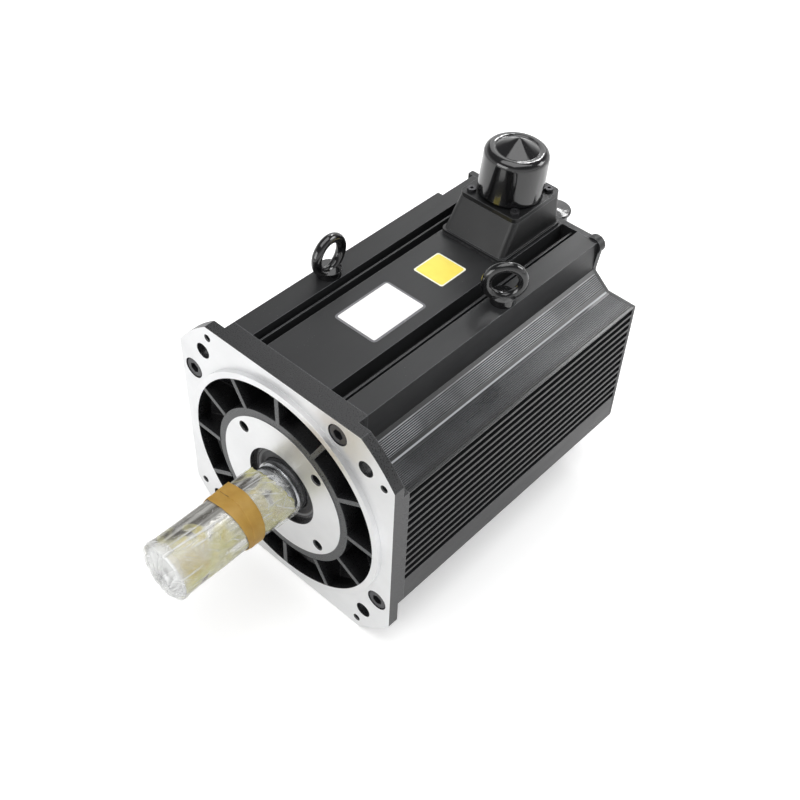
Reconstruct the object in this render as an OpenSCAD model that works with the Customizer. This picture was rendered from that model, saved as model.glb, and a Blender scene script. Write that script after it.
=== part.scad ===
// Flange-mounted AC servo motor: keyed shaft, ribbed bearing bracket, finned housing,
// power box and encoder cover. The shaft points along -Y, the mounting face is the
// plane y = 0 and the connectors stand up along +Z. All lengths are in millimetres.

/* [Flange] */
// Side of the square flange
flange_w = 220; // [214:1:228]
// How much wider than the flange the circle is on which its corners are turned off
corner_over = 50; // [44:1:60]
// Thickness of the flange ears
flange_t = 9.5; // [8:0.5:12]
// How much wider than the flange the circle through the mounting holes is
bolt_over = 15; // [10:1:20]
// Diameter of the mounting holes
bolt_hole_d = 13.5; // [11:0.5:15]
// Distance from the side of the flange in to the centring spigot
spigot_in = 10; // [8:0.5:12]
// Height of the spigot in front of the mounting face
spigot_h = 4; // [3:0.5:6]
// Width of the machined rim of the spigot
spigot_rim = 5.6; // [4:0.2:7]
// Number of ribs between the spigot rim and the hub
rib_count = 12; // [8:1:16]
// Thickness of a rib
rib_t = 4; // [3:0.5:6]
// Thickness of the web that closes the pockets between the ribs
web_t = 6; // [4:0.5:8]
// Diameter of the small jacking holes in the ears
jack_hole_d = 5; // [3:0.5:6]
// How far beyond half the flange width the jacking holes sit
jack_hole_over = 15.9; // [12:0.1:18]
// Angle of the first jacking hole above the horizontal
jack_hole_a = 37.3; // [35:0.1:39]

/* [Bearing hub] */
// Outer diameter of the hub that carries the front bearing
hub_d = 138; // [132:1:144]
// Diameter of the machined hub face
hub_face_d = 124.6; // [120:0.2:128]
// Step from the machined hub face down to the cast ring
cast_step = 0.5; // [0.2:0.1:1]
// Diameter of the circle through the tapped holes of the hub face
hub_tap_pcd = 107.6; // [104:0.2:112]
// Diameter of the tapped holes of the hub face
hub_tap_d = 8.5; // [5:0.1:9]
// Depth of the tapped holes of the hub face
hub_tap_depth = 13; // [8:0.5:14]
// Diameter of the recess in front of the shaft seal
recess_d = 69; // [66:0.5:76]
// Depth of the recess in front of the shaft seal
recess_depth = 5; // [4:0.5:7]
// Outer diameter of the shaft seal
seal_d = 62; // [60:0.5:65]
// Width of the shaft seal
seal_w = 8; // [7:0.5:9]
// Thickness of the wall between seal and bearing
hub_wall = 5; // [4:0.5:8]
// Diameter of the bore through that wall
wall_bore_d = 57; // [55:0.5:59]

/* [Bearings] */
// Outer diameter of the front bearing
front_od = 100; // [94:1:104]
// Width of the front bearing
front_w = 25; // [22:1:28]
// Ball diameter of the front bearing
front_ball_d = 17.5; // [15:0.5:18.5]
// Number of balls in the front bearing
front_balls = 8; // [6:1:9]
// Outer diameter of the rear bearing
rear_od = 80; // [76:1:85]
// Width of the rear bearing
rear_w = 18; // [16:1:20]
// Ball diameter of the rear bearing
rear_ball_d = 12; // [10:0.5:13]
// Number of balls in the rear bearing
rear_balls = 9; // [7:1:10]
// Thickness of the ring that holds the front bearing
retainer_t = 4; // [3:0.5:6]
// Thickness of the wave spring behind the rear bearing
spring_t = 2; // [1:0.2:2.4]

/* [Shaft] */
// Diameter of the shaft end
shaft_d = 42; // [38:0.5:43]
// Distance from the mounting face to the shaft tip
shaft_l = 116; // [110:1:126]
// Distance from the mounting face to the shoulder of the shaft end
shoulder_y = 6; // [4.5:0.5:8]
// Diameter of the shaft under the seal and the front bearing
seat_d = 45; // [44:0.5:47]
// Diameter of the shoulder behind the front bearing
step_d = 54; // [52:0.5:58]
// Diameter of the shaft inside the rotor
rotor_shaft_d = 60; // [59:0.5:66]
// Diameter of the shaft in the rear bearing
rear_seat_d = 40; // [38:0.5:42]
// Diameter of the stub that carries the encoder disc
stub_d = 20; // [16:0.5:22]
// Chamfer at the shaft tip
tip_chamfer = 1.5; // [0.5:0.1:2.5]
// Thread diameter of the centre hole in the shaft tip
centre_d = 14; // [10:0.5:16]
// Depth of the centre hole
centre_depth = 36; // [25:1:45]
// Width of the key
key_w = 12; // [10:0.5:14]
// Height of the key
key_h = 8; // [7:0.5:9]
// Depth of the keyway in the shaft
key_depth = 5; // [4:0.5:5.5]
// Distance from the shaft tip to the key
key_in = 5; // [4:0.5:20]
// Distance from the shaft shoulder to the key
key_offset = 15; // [11:0.5:16]
// Direction of the key, turned up from +X
key_a = 150; // [0:5:355]

/* [Rotor and stator] */
// Wall of the housing between the stator and the seats of the side coolers
stator_in = 4; // [3:0.5:6]
// Room between the rear winding head and the rear bracket
winding_back = 8.5; // [8:0.5:12]
// Room between the bearing retainer and the winding head
winding_gap = 2; // [1:0.5:4]
// Number of stator slots
slots = 36; // [24:6:36]
// Width of a stator slot
slot_w = 5; // [4:0.2:6]
// Radial depth of the stator, from its bore to its outside
stator_ring = 30; // [29:0.5:32]
// Distance from the stator bore to the bottom of a slot
slot_depth = 18; // [14:0.5:20]
// Reach of the winding heads beyond the stator
winding_l = 26; // [20:1:27]
// Air gap between rotor and stator
air_gap = 1; // [0.6:0.1:1.5]
// Thickness of the magnets
magnet_t = 4; // [3:0.5:6]
// Number of magnets round the rotor
magnets_n = 8; // [6:2:12]
// Part of the pole pitch that a magnet covers
magnet_arc = 0.82; // [0.6:0.02:0.9]

/* [Housing] */
// How far the housing and the side coolers stand in from the flange
body_in = 0; // [0:0.5:1]
// Distance from the mounting face to the housing extrusion
bracket_l = 18.5; // [17.5:0.5:21]
// Distance from the mounting face to the side coolers
cooler_y = 15.5; // [15:0.5:17]
// Length of the housing extrusion
frame_l = 264; // [260:1:276]
// Distance from the side of the body in to the wall of the raised middle
wall_in = 43; // [42:0.5:44]
// Half width of the flat under the connector box
plate_x = 32; // [31.5:0.5:34]
// Half distance between the grooves' outer walls
groove_x = 47; // [45:0.5:48]
// Depth of the long grooves
groove_depth = 16; // [10:0.5:18]
// Distance from the middle to the thin rib in a groove
groove_rib_x = 42; // [40:0.5:43]
// Thickness of the thin rib in a groove
groove_rib_t = 1.5; // [1:0.1:2.5]
// Distance from the top down to the edge of the thin rib
groove_rib_drop = 3.3; // [2:0.1:6]
// Distance from the side of the body in to the flat that carries a side cooler
seat_in = 18; // [17:0.5:19]
// Thickness of a side cooler where it meets the side wall
shoulder_drop = 8; // [7:0.5:10]
// Length of the relief in the left rear corner block
relief_l = 39; // [20:1:50]
// Width of that relief
relief_w = 5; // [2:0.5:6]
// Height of that relief
relief_h = 6; // [2:0.5:8]

/* [Side coolers] */
// Drop from the top of the housing to the valley beside its wall
valley_drop = 28; // [26:0.5:30]
// Width of the slope from the valley to the ridge
slope_w = 16.5; // [15:0.5:19]
// Drop from the valley to the ridge
ridge_drop = 13.6; // [12:0.1:14.5]
// Drop from the ridge to the outer edge of the cooler
edge_drop = 0.6; // [0:0.1:1.2]
// Number of fin gaps
fin_count = 13; // [8:1:13]
// Distance between fin gaps
fin_pitch = 7.83; // [7.5:0.01:8]
// Width of a fin gap
fin_gap = 5.2; // [4:0.1:5.8]
// Depth of a fin gap
fin_depth = 13; // [8:0.5:13.5]
// Distance from the outer edge down to the first fin gap
fin_first = 3.8; // [3.6:0.1:5]
// Drop from the edge of the cooler to the start of the slanted corner
band_drop = 10.2; // [6:0.2:12]
// Width of the slanted corner under the plain band
corner_w = 10; // [6:0.5:12]
// Number of flutes on the slope
flutes = 9; // [5:1:10]
// Distance between the flutes of the slope
flute_pitch = 1.5; // [1.2:0.1:1.6]
// Distance from the valley to the first flute
flute_first = 4; // [3:0.1:5]
// Number of fine flutes on the flat
fine_flutes = 14; // [8:1:14]
// Distance between the fine flutes
fine_pitch = 1.55; // [1.3:0.05:1.6]
// Depth of the flutes
flute_depth = 0.5; // [0.2:0.05:0.7]

/* [Rear bracket and encoder] */
// Thickness of the rear bracket behind the housing
rear_rim = 5.5; // [5:0.5:8]
// Thickness of the rear bracket behind the side coolers
rear_wing = 3.5; // [2.5:0.5:5]
// Radius of the round lug at the upper right corner
lug_r = 7.5; // [6:0.5:9]
// Length of the lug
lug_l = 7; // [6:0.5:10]
// Distance from the side wall in to the middle of the lug
lug_in = 4; // [2:0.5:6]
// Drop from the top of the housing to the middle of the lug
lug_drop = 5.5; // [1:0.5:6]
// How far the strip under the lug stands out past the side wall
strip_out = 2.5; // [1:0.5:4]
// Length of the centring ring in the housing bore
register_l = 14; // [8:0.5:15]
// Wall of the hub that holds the rear bearing
rear_hub_wall = 10; // [7:0.5:12]
// Diameter of the encoder cover
cover_d = 116; // [112:1:124]
// Depth of the encoder cover
cover_l = 47; // [44:1:56]
// Wall of the encoder cover
cover_wall = 4; // [3:0.5:5]
// Chamfer round the back of the encoder cover
cover_chamfer = 5; // [2:0.5:8]
// Outer diameter of the encoder housing
encoder_d = 60; // [56:1:66]
// Depth of the encoder housing
encoder_l = 26; // [24:1:32]
// Diameter of the encoder disc
disc_d = 46; // [38:1:48]

/* [Power connector] */
// Distance from the power connector to the rear end of the housing
power_back = 32.5; // [31.5:0.5:36]
// Thickness of the receptacle flange
socket_t = 4; // [3:0.5:6]
// Height of the power box above the gasket
box_h = 27.5; // [22:0.5:36]
// Wall of the power box
box_wall = 4; // [3:0.5:4.5]
// Distance from the connector middle to the front foot of the box
box_front = 45; // [40:0.5:48]
// Distance from the connector middle to the rear foot of the box
box_rear = 31; // [29.5:0.5:31]
// Half width of the foot of the box
box_foot = 31.5; // [30:0.5:32]
// Height of the rim at the foot of the box
box_rim = 2.5; // [2:0.5:4]
// Floor of the power box
box_floor = 5; // [4:0.5:6]
// Diameter of the cable passage under the box
passage_d = 24; // [16:1:28]
// Thickness of the gasket under the box
gasket_t = 1.5; // [1:0.1:2]
// Outer diameter of the receptacle barrel
barrel_d = 44; // [40:0.5:45]
// Inner diameter of the receptacle barrel
barrel_bore = 36; // [32:0.5:37]
// Height of the receptacle barrel
barrel_h = 27; // [24:0.5:30]
// Number of power pins in the ring
pins_n = 6; // [4:1:6]
// Diameter of a power pin
pin_d = 3.6; // [2.5:0.1:4]
// Outer diameter of the power cap at its foot
cap_d = 52.4; // [52:0.2:56]
// Loss of radius from the foot to the rim of the power cap
cap_draft = 0.6; // [0:0.1:1]
// Height of the power cap without its cone
cap_h = 37.5; // [35:0.1:42]
// Lean of the loose power cap towards the rear right
cap_lean = 3; // [0:0.5:3]
// Radial room between the power cap and its barrel
cap_loose = 1.9; // [1.7:0.1:2.4]
// Height of the cone in the middle of the power cap
cap_cone = 9; // [4:0.5:12]
// Fillet at the rim of the power cap
cap_fillet = 6; // [3:0.5:8]

/* [Encoder connector] */
// Distance from the rear face to the middle of the encoder connector
signal_back = 30.5; // [28:0.5:31]
// Thickness of that flange
signal_t = 3; // [2:0.5:4]
// Outer diameter of the encoder connector barrel
signal_barrel_d = 21; // [20:0.5:23]
// Inner diameter of the encoder connector barrel
signal_bore = 17; // [16:0.5:18]
// Height of the encoder connector barrel
signal_barrel_h = 20; // [17:0.5:22]
// Outer diameter of the skirt of the encoder connector cap
signal_cap_d = 24.6; // [24.2:0.2:26]
// Outer diameter of the brim on top of that cap
signal_brim_d = 29; // [27:0.5:31]
// Thickness of the brim
signal_brim_t = 3; // [2:0.5:4]
// Height of the encoder connector cap
signal_cap_h = 27; // [25:0.5:30]
// Number of signal pins in the ring
signal_pins = 12; // [8:1:12]

/* [Screws and lifting eyes] */
// Thread diameter of the flange screws
screw_d = 10; // [8:0.5:10]
// How far beyond half the flange width the flange screws sit
screw_over = 2; // [0.5:0.1:3]
// Angle of the first flange screw above the horizontal
screw_a = 59.8; // [59:0.1:60.2]
// Depth of the counterbore for a flange screw
counterbore = 10.5; // [10.5:0.1:11.5]
// Reach of a flange screw behind the bracket
screw_grip = 24; // [18:1:28]
// Reach of a rear screw into the housing
rear_screw_grip = 22; // [16:1:26]
// Thread diameter of the lifting eyes
eye_thread = 8; // [8:0.5:10]
// Outer diameter of the ring of a lifting eye
eye_od = 36; // [34:0.5:40]
// Thickness of the ring of a lifting eye
eye_wire = 8; // [7:0.5:9]
// Diameter of the foot of a lifting eye
eye_foot_d = 20; // [18:0.5:20]
// Height of the foot of a lifting eye
eye_foot_h = 6; // [5:0.5:7]
// Distance from the mounting face to the left lifting eye
eye_left_y = 106; // [60:1:160]
// Direction of the ring of the left lifting eye, turned from +X
eye_left_a = 94; // [0:1:180]
// Distance from the mounting face to the right lifting eye
eye_right_y = 175; // [100:1:220]
// Direction of the ring of the right lifting eye, turned from +X
eye_right_a = 46; // [0:1:180]

/* [Transport wrap] */
// Distance from the mounting face to the edge of the film
film_y = 8; // [7:0.5:12]
// Thickness of the wound film
film_t = 0.6; // [0.4:0.1:1]
// Extra radius of the loose paper at the foot of the shaft end
paper_puff = 1.8; // [0.5:0.1:2.5]
// Reach of the film beyond the shaft tip
film_tip = 2; // [1.5:0.1:4]
// Distance from the mounting face to the rubber band
rubber_y = 38; // [34:0.5:50]
// Width of one turn of the rubber band
rubber_w = 11; // [8:0.5:14]
// Thickness of the rubber band
rubber_t = 1.5; // [1:0.1:2.5]

/* [Clearances] */
// Radial clearance of fixed pieces in their seats
seat_gap = 0.05; // [0.02:0.01:0.08]
// Radial clearance of the balls in their races
race_gap = 0.05; // [0.03:0.01:0.08]
// Radial clearance between the seal lip and the shaft
seal_gap = 0.15; // [0.1:0.05:0.25]
// Clearance between wrap, shaft and rubber band
soft_gap = 0.15; // [0.1:0.05:0.3]
// Radial clearance of the encoder cap on its barrel
cap_gap = 0.3; // [0.2:0.05:0.5]
// Radial clearance round a screw shank
shank_gap = 0.5; // [0.3:0.1:0.8]
// Clearance between winding and slot
slot_gap = 0.2; // [0.1:0.05:0.4]

/* [Hidden] */
$fn = 96;

// Sink of one shape into the next, and overshoot of a cut
lap = 1;
// Chamfer at the mouth of a tapped hole
mouth = 0.8;
corner_d = flange_w + corner_over;
bolt_pcd = flange_w + bolt_over;
spigot_d = flange_w - 2 * spigot_in;
jack_hole_r = flange_w / 2 + jack_hole_over;
screw_r = flange_w / 2 + screw_over;

// Outline of the housing and the side coolers
side_x = flange_w / 2 - body_in;
top_z = side_x;
wall_x = side_x - wall_in;
seat_x = side_x - seat_in;
valley_z = top_z - valley_drop;
shoulder_z = valley_z - shoulder_drop;
seat_z = shoulder_z - (seat_x - wall_x);
ridge_x = wall_x + slope_w;
ridge_z = valley_z - ridge_drop;
edge_z = ridge_z - edge_drop;
band_z = edge_z - band_drop;
lug_x = wall_x - lug_in;
lug_z = top_z - lug_drop;
stator_d = 2 * (seat_x - stator_in);
bore_r = stator_d / 2 + seat_gap;
frame_y = bracket_l;
body_rear = bracket_l + frame_l;
rear_face = body_rear + rear_rim;

// Hub, seal and front bearing along the axis
hub_r = hub_d / 2;
pocket_r = spigot_d / 2 - spigot_rim;
seal_y = recess_depth - spigot_h;
front_y = seal_y + seal_w + hub_wall;
front_back = front_y + front_w;
front_pitch = (seat_d + front_od) / 4;
retainer_r = front_od / 2 + 14;
retainer_bore = front_od / 2 - 9;
retainer_screw_r = front_od / 2 + 8;
retainer_screw_d = 5;
pocket_floor = front_back - web_t;
register_r = bore_r - seat_gap;
register_wall = 6;

// Rotor and stator along the axis
retainer_head = 3;
stator_y = front_back + retainer_t + retainer_head + winding_gap + winding_l;
stator_end = body_rear - register_l - winding_back - winding_l;
stator_l = stator_end - stator_y;
stator_bore = stator_d - 2 * stator_ring;
key_l = shaft_l - shoulder_y - key_offset - key_in;
rotor_r = stator_bore / 2 - air_gap;
rotor_shaft_y = stator_y - 10;
rotor_shaft_end = stator_end + 10;

// Rear bearing along the axis
rear_back = body_rear - spring_t;
rear_y = rear_back - rear_w;
rear_pitch = (rear_seat_d + rear_od) / 4;
rear_hub_r = rear_od / 2 + rear_hub_wall;
rear_lip_r = encoder_d / 2 - 4;
circlip_t = 1.75;
circlip_depth = 1.25;
circlip_reach = 4.4;

rear_screw_d = 6;
rear_web = 6;

// Encoder
stub_end = rear_face + 18;
disc_y = rear_face + 14;
board_y = rear_face + encoder_l - 6;
encoder_wall = 3;
encoder_foot = 6;
encoder_screw_d = 4;
encoder_screw_r = encoder_d / 2 + encoder_foot - 3.5;
encoder_screw_grip = rear_rim - 0.5;
cover_screw_d = 5;
cover_r = cover_d / 2;
cover_screw_r = cover_r - 10.5;

// Power box
power_y = body_rear - power_back;
socket_screw_d = 4;
socket_screw = (cap_d / 2 + 0.9 * socket_screw_d + 0.6) / sqrt(2);
socket_w = 2 * (socket_screw + 7);
socket_r = 5;
box_draft = 1.5;
gasket_z = top_z + gasket_t;
floor_z = gasket_z + box_floor;
box_top = gasket_z + box_h;
socket_z = box_top + socket_t;
barrel_top = socket_z + barrel_h;
box_screw_d = 5;
box_screw_x = box_foot - 2 * box_draft - box_wall - 0.9 * box_screw_d - 1;
box_screw_front = box_front - 15;
box_screw_rear = box_rear - 12.5;
insert_z = socket_z + 3;
insert_h = 10;
pin_top = barrel_top - 5;
cap_seat = 0.3;
cap_room = 2;
cap_turn = 42;

// Encoder connector
signal_z = cover_r + 1.5;
signal_seat = signal_z + signal_t;
signal_top = signal_seat + signal_barrel_h;
signal_screw_d = 3;
signal_screw_l = 6;
signal_screw = (signal_cap_d / 2 + 0.9 * signal_screw_d + 0.5) / sqrt(2);
signal_w = 2 * (signal_screw + 3.4);
signal_pad = signal_w / 2 + 1;
signal_y = rear_face + signal_back;
signal_insert_z = signal_seat + 3;
signal_insert_h = 8;
signal_pin_top = signal_top - 3.5;

// Transport wrap
film_in = shaft_d / 2 + soft_gap;
film_r = film_in + film_t;
key_top = shaft_d / 2 - key_depth + key_h;
rubber_l = 2 * rubber_w;

// Lifting eyes
eye_shank = 13;

// Colours
bare_metal = [0.78, 0.79, 0.80];
steel = [0.62, 0.63, 0.65];
paint = [0.24, 0.25, 0.26];
black_gloss = [0.05, 0.05, 0.06];
copper = [0.72, 0.43, 0.20];
film = [0.92, 0.93, 0.84];
amber = [0.85, 0.63, 0.25];

// ---------------------------------------------------------------- helpers
// Cylinder along +Y from y
module rod_y(y, len, r) {
    translate([0, y, 0]) rotate([-90, 0, 0]) cylinder(h = len, r = r);
}
// Ring along +Y from y
module tube_y(y, len, ro, ri) {
    difference() {
        rod_y(y, len, ro);
        rod_y(y - lap, len + 2 * lap, ri);
    }
}
// Section in the X-Z plane, extruded along +Y from y
module prism_y(y, len) {
    translate([0, y + len, 0]) rotate([90, 0, 0]) linear_extrude(len) children();
}
// Half section in (radius, y), turned round the motor axis
module turn_y() {
    rotate([-90, 0, 0]) rotate_extrude() children();
}
// Children copied to n places at radius r in the X-Z plane
module ring_of(n, r, a = 0) {
    for (i = [0 : n - 1])
        rotate([0, -a - i * 360 / n, 0]) translate([r, 0, 0]) children();
}
// Rectangle with round corners
module round_rect(w, h, r) {
    square([w - 2 * r, h], center = true);
    square([w, h - 2 * r], center = true);
    for (x = [-1, 1], y = [-1, 1])
        translate([x * (w / 2 - r), y * (h / 2 - r)]) circle(r);
}
// Chamfer at the mouth of a hole that starts at y
module chamfer_y(y, r) {
    translate([0, y, 0]) rotate([-90, 0, 0]) cylinder(h = mouth, r1 = r + mouth, r2 = r);
}
// Socket head screw along +Y with its head face at y
module cap_screw_y(y, d, len) {
    head_r = 0.8 * d;
    difference() {
        union() {
            rod_y(y, d, head_r);
            rod_y(y, d + len, d / 2);
        }
        translate([0, y - lap, 0]) rotate([-90, 0, 0])
            cylinder(h = lap + d / 2, r = 0.46 * d, $fn = 6);
    }
}
// Pan head screw standing along +Z with its head on z
module pan_screw(z, d, len) {
    difference() {
        union() {
            translate([0, 0, z]) cylinder(h = 0.6 * d, r = 0.9 * d);
            translate([0, 0, z - len]) cylinder(h = len + lap, r = d / 2);
        }
        translate([0, 0, z + 0.25 * d]) cylinder(h = d, r = 0.35 * d, $fn = 6);
    }
}
// Corner positions of a square pattern
module four_corners(s) {
    for (x = [-s, s], y = [-s, s]) translate([x, y, 0]) children();
}

// ---------------------------------------------------------------- bearings
// Half section of one race, from its shoulder to its seat
module race(y, w, r_seat, r_shoulder, pitch, ball_d) {
    difference() {
        turn_y() translate([min(r_seat, r_shoulder), y])
            square([abs(r_seat - r_shoulder), w]);
        turn_y() translate([pitch, y + w / 2]) circle(ball_d / 2 + race_gap);
    }
}
module outer_race(y, w, od, pitch, ball_d) {
    race(y, w, od / 2, pitch + 0.45 * ball_d / 2, pitch, ball_d);
}
module inner_race(y, w, bore, pitch, ball_d) {
    race(y, w, bore / 2, pitch - 0.45 * ball_d / 2, pitch, ball_d);
}
module balls(y, w, pitch, ball_d, n) {
    ring_of(n, pitch) translate([0, y + w / 2, 0]) sphere(d = ball_d);
}
module cage(y, w, pitch, ball_d, n) {
    difference() {
        tube_y(y + w / 2 - 0.6 * ball_d, 1.2 * ball_d, pitch + 0.11 * ball_d, pitch - 0.11 * ball_d);
        ring_of(n, 0.7 * pitch) translate([0, y + w / 2, 0]) rotate([0, 90, 0])
            cylinder(h = 0.6 * pitch, r = ball_d / 2 + 2 * race_gap);
    }
}

// ---------------------------------------------------------------- sections
module flange_section() {
    intersection() {
        square(flange_w, center = true);
        circle(corner_d / 2);
    }
}
// Middle of the housing: tall centre between the side walls, and its shoulders
function quarter_turned(pts) = concat(
    pts, [for (i = [len(pts) - 1 : -1 : 0]) [pts[i][0], -pts[i][1]]],
    [for (p = pts) -p], [for (i = [len(pts) - 1 : -1 : 0]) [-pts[i][0], pts[i][1]]]
);
module core_section() {
    polygon(quarter_turned([[wall_x, top_z], [wall_x, shoulder_z], [seat_x, seat_z]]));
}
// Outer edge of the right cooler, from the upper valley round to the lower one
cooler_edge = [
    [wall_x, valley_z], [ridge_x, ridge_z], [side_x, edge_z], [side_x, -band_z],
    [side_x - corner_w, -ridge_z], [ridge_x, -ridge_z], [wall_x, -valley_z]
];
module cooler_outline() {
    polygon(concat(cooler_edge, [
        [wall_x, -shoulder_z], [seat_x, -seat_z], [seat_x, seat_z], [wall_x, shoulder_z]
    ]));
}
// Whole body, which looks the same when turned by half a turn
module body_section() {
    half = concat([[wall_x, top_z]], cooler_edge, [[wall_x, -top_z]]);
    polygon(concat(half, [for (p = half) -p]));
}
// Vee cut, open towards +Y of its own frame
module vee() {
    polygon([[0, -flute_depth], [flute_depth, lap / 10], [-flute_depth, lap / 10]]);
}
// Flutes on the slope and on the flat, for the upper half
module flute_cuts() {
    slope_a = atan2(ridge_z - valley_z, ridge_x - wall_x);
    flat_a = atan2(edge_z - ridge_z, side_x - ridge_x);
    translate([wall_x, valley_z]) rotate(slope_a)
        for (i = [0 : flutes - 1]) translate([flute_first + (i + 0.5) * flute_pitch, 0]) vee();
    translate([ridge_x, ridge_z]) rotate(flat_a)
        for (i = [0 : fine_flutes - 1]) translate([3 + (i + 0.5) * fine_pitch, 0]) vee();
}
module cooler_section() {
    difference() {
        cooler_outline();
        flute_cuts();
        mirror([0, 1]) flute_cuts();
        for (i = [0 : fin_count - 1])
            translate([side_x - fin_depth, edge_z - fin_first - i * fin_pitch]) {
                translate([fin_gap / 2, -fin_gap / 2]) square([fin_depth, fin_gap]);
                translate([fin_gap / 2, 0]) circle(fin_gap / 2);
            }
    }
}
module frame_section() {
    difference() {
        core_section();
        circle(bore_r);
        for (x = [0, 1], z = [0, 1]) mirror([x, 0]) mirror([0, z]) groove_cut();
    }
}
module groove_cut() {
    difference() {
        translate([plate_x, top_z - groove_depth]) square([groove_x - plate_x, groove_depth + lap]);
        translate([groove_rib_x - groove_rib_t / 2, 0]) square([groove_rib_t, top_z - groove_rib_drop]);
    }
}

// ---------------------------------------------------------------- front bracket
// Ring-shaped room between hub and spigot rim, which the ribs divide
module pocket(grow = 0) {
    turn_y() polygon([
        [hub_r - grow, -spigot_h], [pocket_r + grow, -spigot_h], [pocket_r + grow, bracket_l / 2],
        [register_r - register_wall + grow, cooler_y],
        [register_r - register_wall + grow, pocket_floor + grow], [hub_r - grow, pocket_floor + grow]
    ]);
}
module flange_screw_places() {
    ring_of(4, screw_r, screw_a) children();
}
module front_bracket() {
    color(bare_metal) difference() {
        union() {
            difference() {
                union() {
                    prism_y(0, flange_t) flange_section();
                    prism_y(0, cooler_y) body_section();
                    prism_y(0, bracket_l) core_section();
                    rod_y(-spigot_h, spigot_h + lap, spigot_d / 2);
                    rod_y(0, front_back, register_r);
                }
                pocket();
            }
            intersection() {
                pocket(lap);
                ring_of(rib_count, 0) translate([0, -spigot_h, -rib_t / 2])
                    cube([spigot_d / 2, front_back + spigot_h, rib_t]);
            }
        }
        tube_y(-spigot_h - lap, lap + cast_step, hub_r, hub_face_d / 2);
        rod_y(-spigot_h - lap, recess_depth + lap, recess_d / 2);
        rod_y(seal_y - lap, seal_w + lap, seal_d / 2 + seat_gap);
        rod_y(seal_y, seal_w + hub_wall + lap, wall_bore_d / 2);
        rod_y(front_y, front_w + lap, front_od / 2 + seat_gap);
        ring_of(4, hub_tap_pcd / 2, 45) {
            rod_y(-spigot_h - lap, hub_tap_depth + lap, hub_tap_d / 2);
            chamfer_y(-spigot_h, hub_tap_d / 2);
        }
        ring_of(4, bolt_pcd / 2, 45) rod_y(-lap, flange_t + 2 * lap, bolt_hole_d / 2);
        ring_of(4, jack_hole_r, jack_hole_a) {
            rod_y(-lap, flange_t + 2 * lap, jack_hole_d / 2);
            chamfer_y(0, jack_hole_d / 2);
        }
        flange_screw_places() {
            rod_y(-lap, counterbore + lap, 0.8 * screw_d + 1);
            rod_y(0, bracket_l + lap, screw_d / 2 + shank_gap);
        }
        ring_of(4, retainer_screw_r)
            rod_y(front_back - 12, 12 + lap, retainer_screw_d / 2 + seat_gap);
    }
}
module flange_screws() {
    color(steel) flange_screw_places()
        cap_screw_y(counterbore - screw_d, screw_d, bracket_l + screw_grip - counterbore);
}
module shaft_seal() {
    ro = seal_d / 2;
    ri = seat_d / 2 + seal_gap;
    color(black_gloss) turn_y() polygon([
        [ro, seal_y], [ro, seal_y + seal_w], [ro - 1.5, seal_y + seal_w],
        [ro - 1.5, seal_y + 3], [ri + 3.5, seal_y + 3], [ri + 2, seal_y + seal_w - 1.5],
        [ri, seal_y + seal_w - 3], [ri + 1.4, seal_y + 2], [ri, seal_y + 0.8],
        [ri + 0.8, seal_y], [ri + 4, seal_y + 0.8], [ro - 2, seal_y + 0.8]
    ]);
}
module bearing_retainer() {
    color(steel) difference() {
        tube_y(front_back, retainer_t, retainer_r, retainer_bore);
        ring_of(4, retainer_screw_r)
            rod_y(front_back - lap, retainer_t + 2 * lap, retainer_screw_d / 2 + shank_gap);
    }
}
module retainer_screws() {
    color(steel) ring_of(4, retainer_screw_r) {
        rod_y(front_back - 11, 11 + retainer_t + lap, retainer_screw_d / 2);
        rod_y(front_back + retainer_t, retainer_head, 0.85 * retainer_screw_d);
    }
}
module front_bearing_outer() {
    color(steel) outer_race(front_y, front_w, front_od, front_pitch, front_ball_d);
}
module front_bearing_inner() {
    color(steel) inner_race(front_y, front_w, seat_d + 2 * seat_gap, front_pitch, front_ball_d);
}
module front_bearing_balls() {
    color(bare_metal) balls(front_y, front_w, front_pitch, front_ball_d, front_balls);
}
module front_bearing_cage() {
    color(copper) cage(front_y, front_w, front_pitch, front_ball_d, front_balls);
}
// Split ring in a groove of the shaft, with its face at y
module circlip(y, d) {
    ri = d / 2 - circlip_depth + seat_gap;
    difference() {
        tube_y(y, circlip_t, ri + circlip_reach, ri);
        translate([0, y - lap, -2]) cube([d, circlip_t + 2 * lap, 4]);
    }
}
module front_circlip() {
    color(steel) circlip(front_y - circlip_t - seat_gap, seat_d);
}

// ---------------------------------------------------------------- housing
module screw_cuts(front) {
    flange_screw_places() {
        rod_y(front - lap, lap + bracket_l - front + screw_grip + 3, screw_d / 2 + seat_gap);
        rod_y(body_rear - rear_screw_grip - 4, rear_screw_grip + 4 + lap, rear_screw_d / 2 + seat_gap);
    }
}
module frame() {
    color(paint) difference() {
        prism_y(frame_y, frame_l) frame_section();
        screw_cuts(frame_y);
        translate([0, power_y, 0]) cylinder(h = top_z + lap, r = passage_d / 2);
        box_screw_places() cylinder(h = top_z + lap, r = box_screw_d / 2 + seat_gap);
        eye_place(-1, eye_left_y, 0) translate([0, 0, -eye_shank - 2])
            cylinder(h = eye_shank + 2 + lap, r = eye_thread / 2 + seat_gap);
        eye_place(1, eye_right_y, 0) translate([0, 0, -eye_shank - 2])
            cylinder(h = eye_shank + 2 + lap, r = eye_thread / 2 + seat_gap);
        translate([-wall_x - lap, body_rear - relief_l, top_z - relief_h])
            cube([relief_w + lap, relief_l + lap, relief_h + lap]);
    }
}
module side_cooler_right() {
    color(paint) difference() {
        prism_y(cooler_y, body_rear - cooler_y) cooler_section();
        screw_cuts(cooler_y);
    }
}
module side_cooler_left() {
    rotate([0, 180, 0]) side_cooler_right();
}

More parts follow.
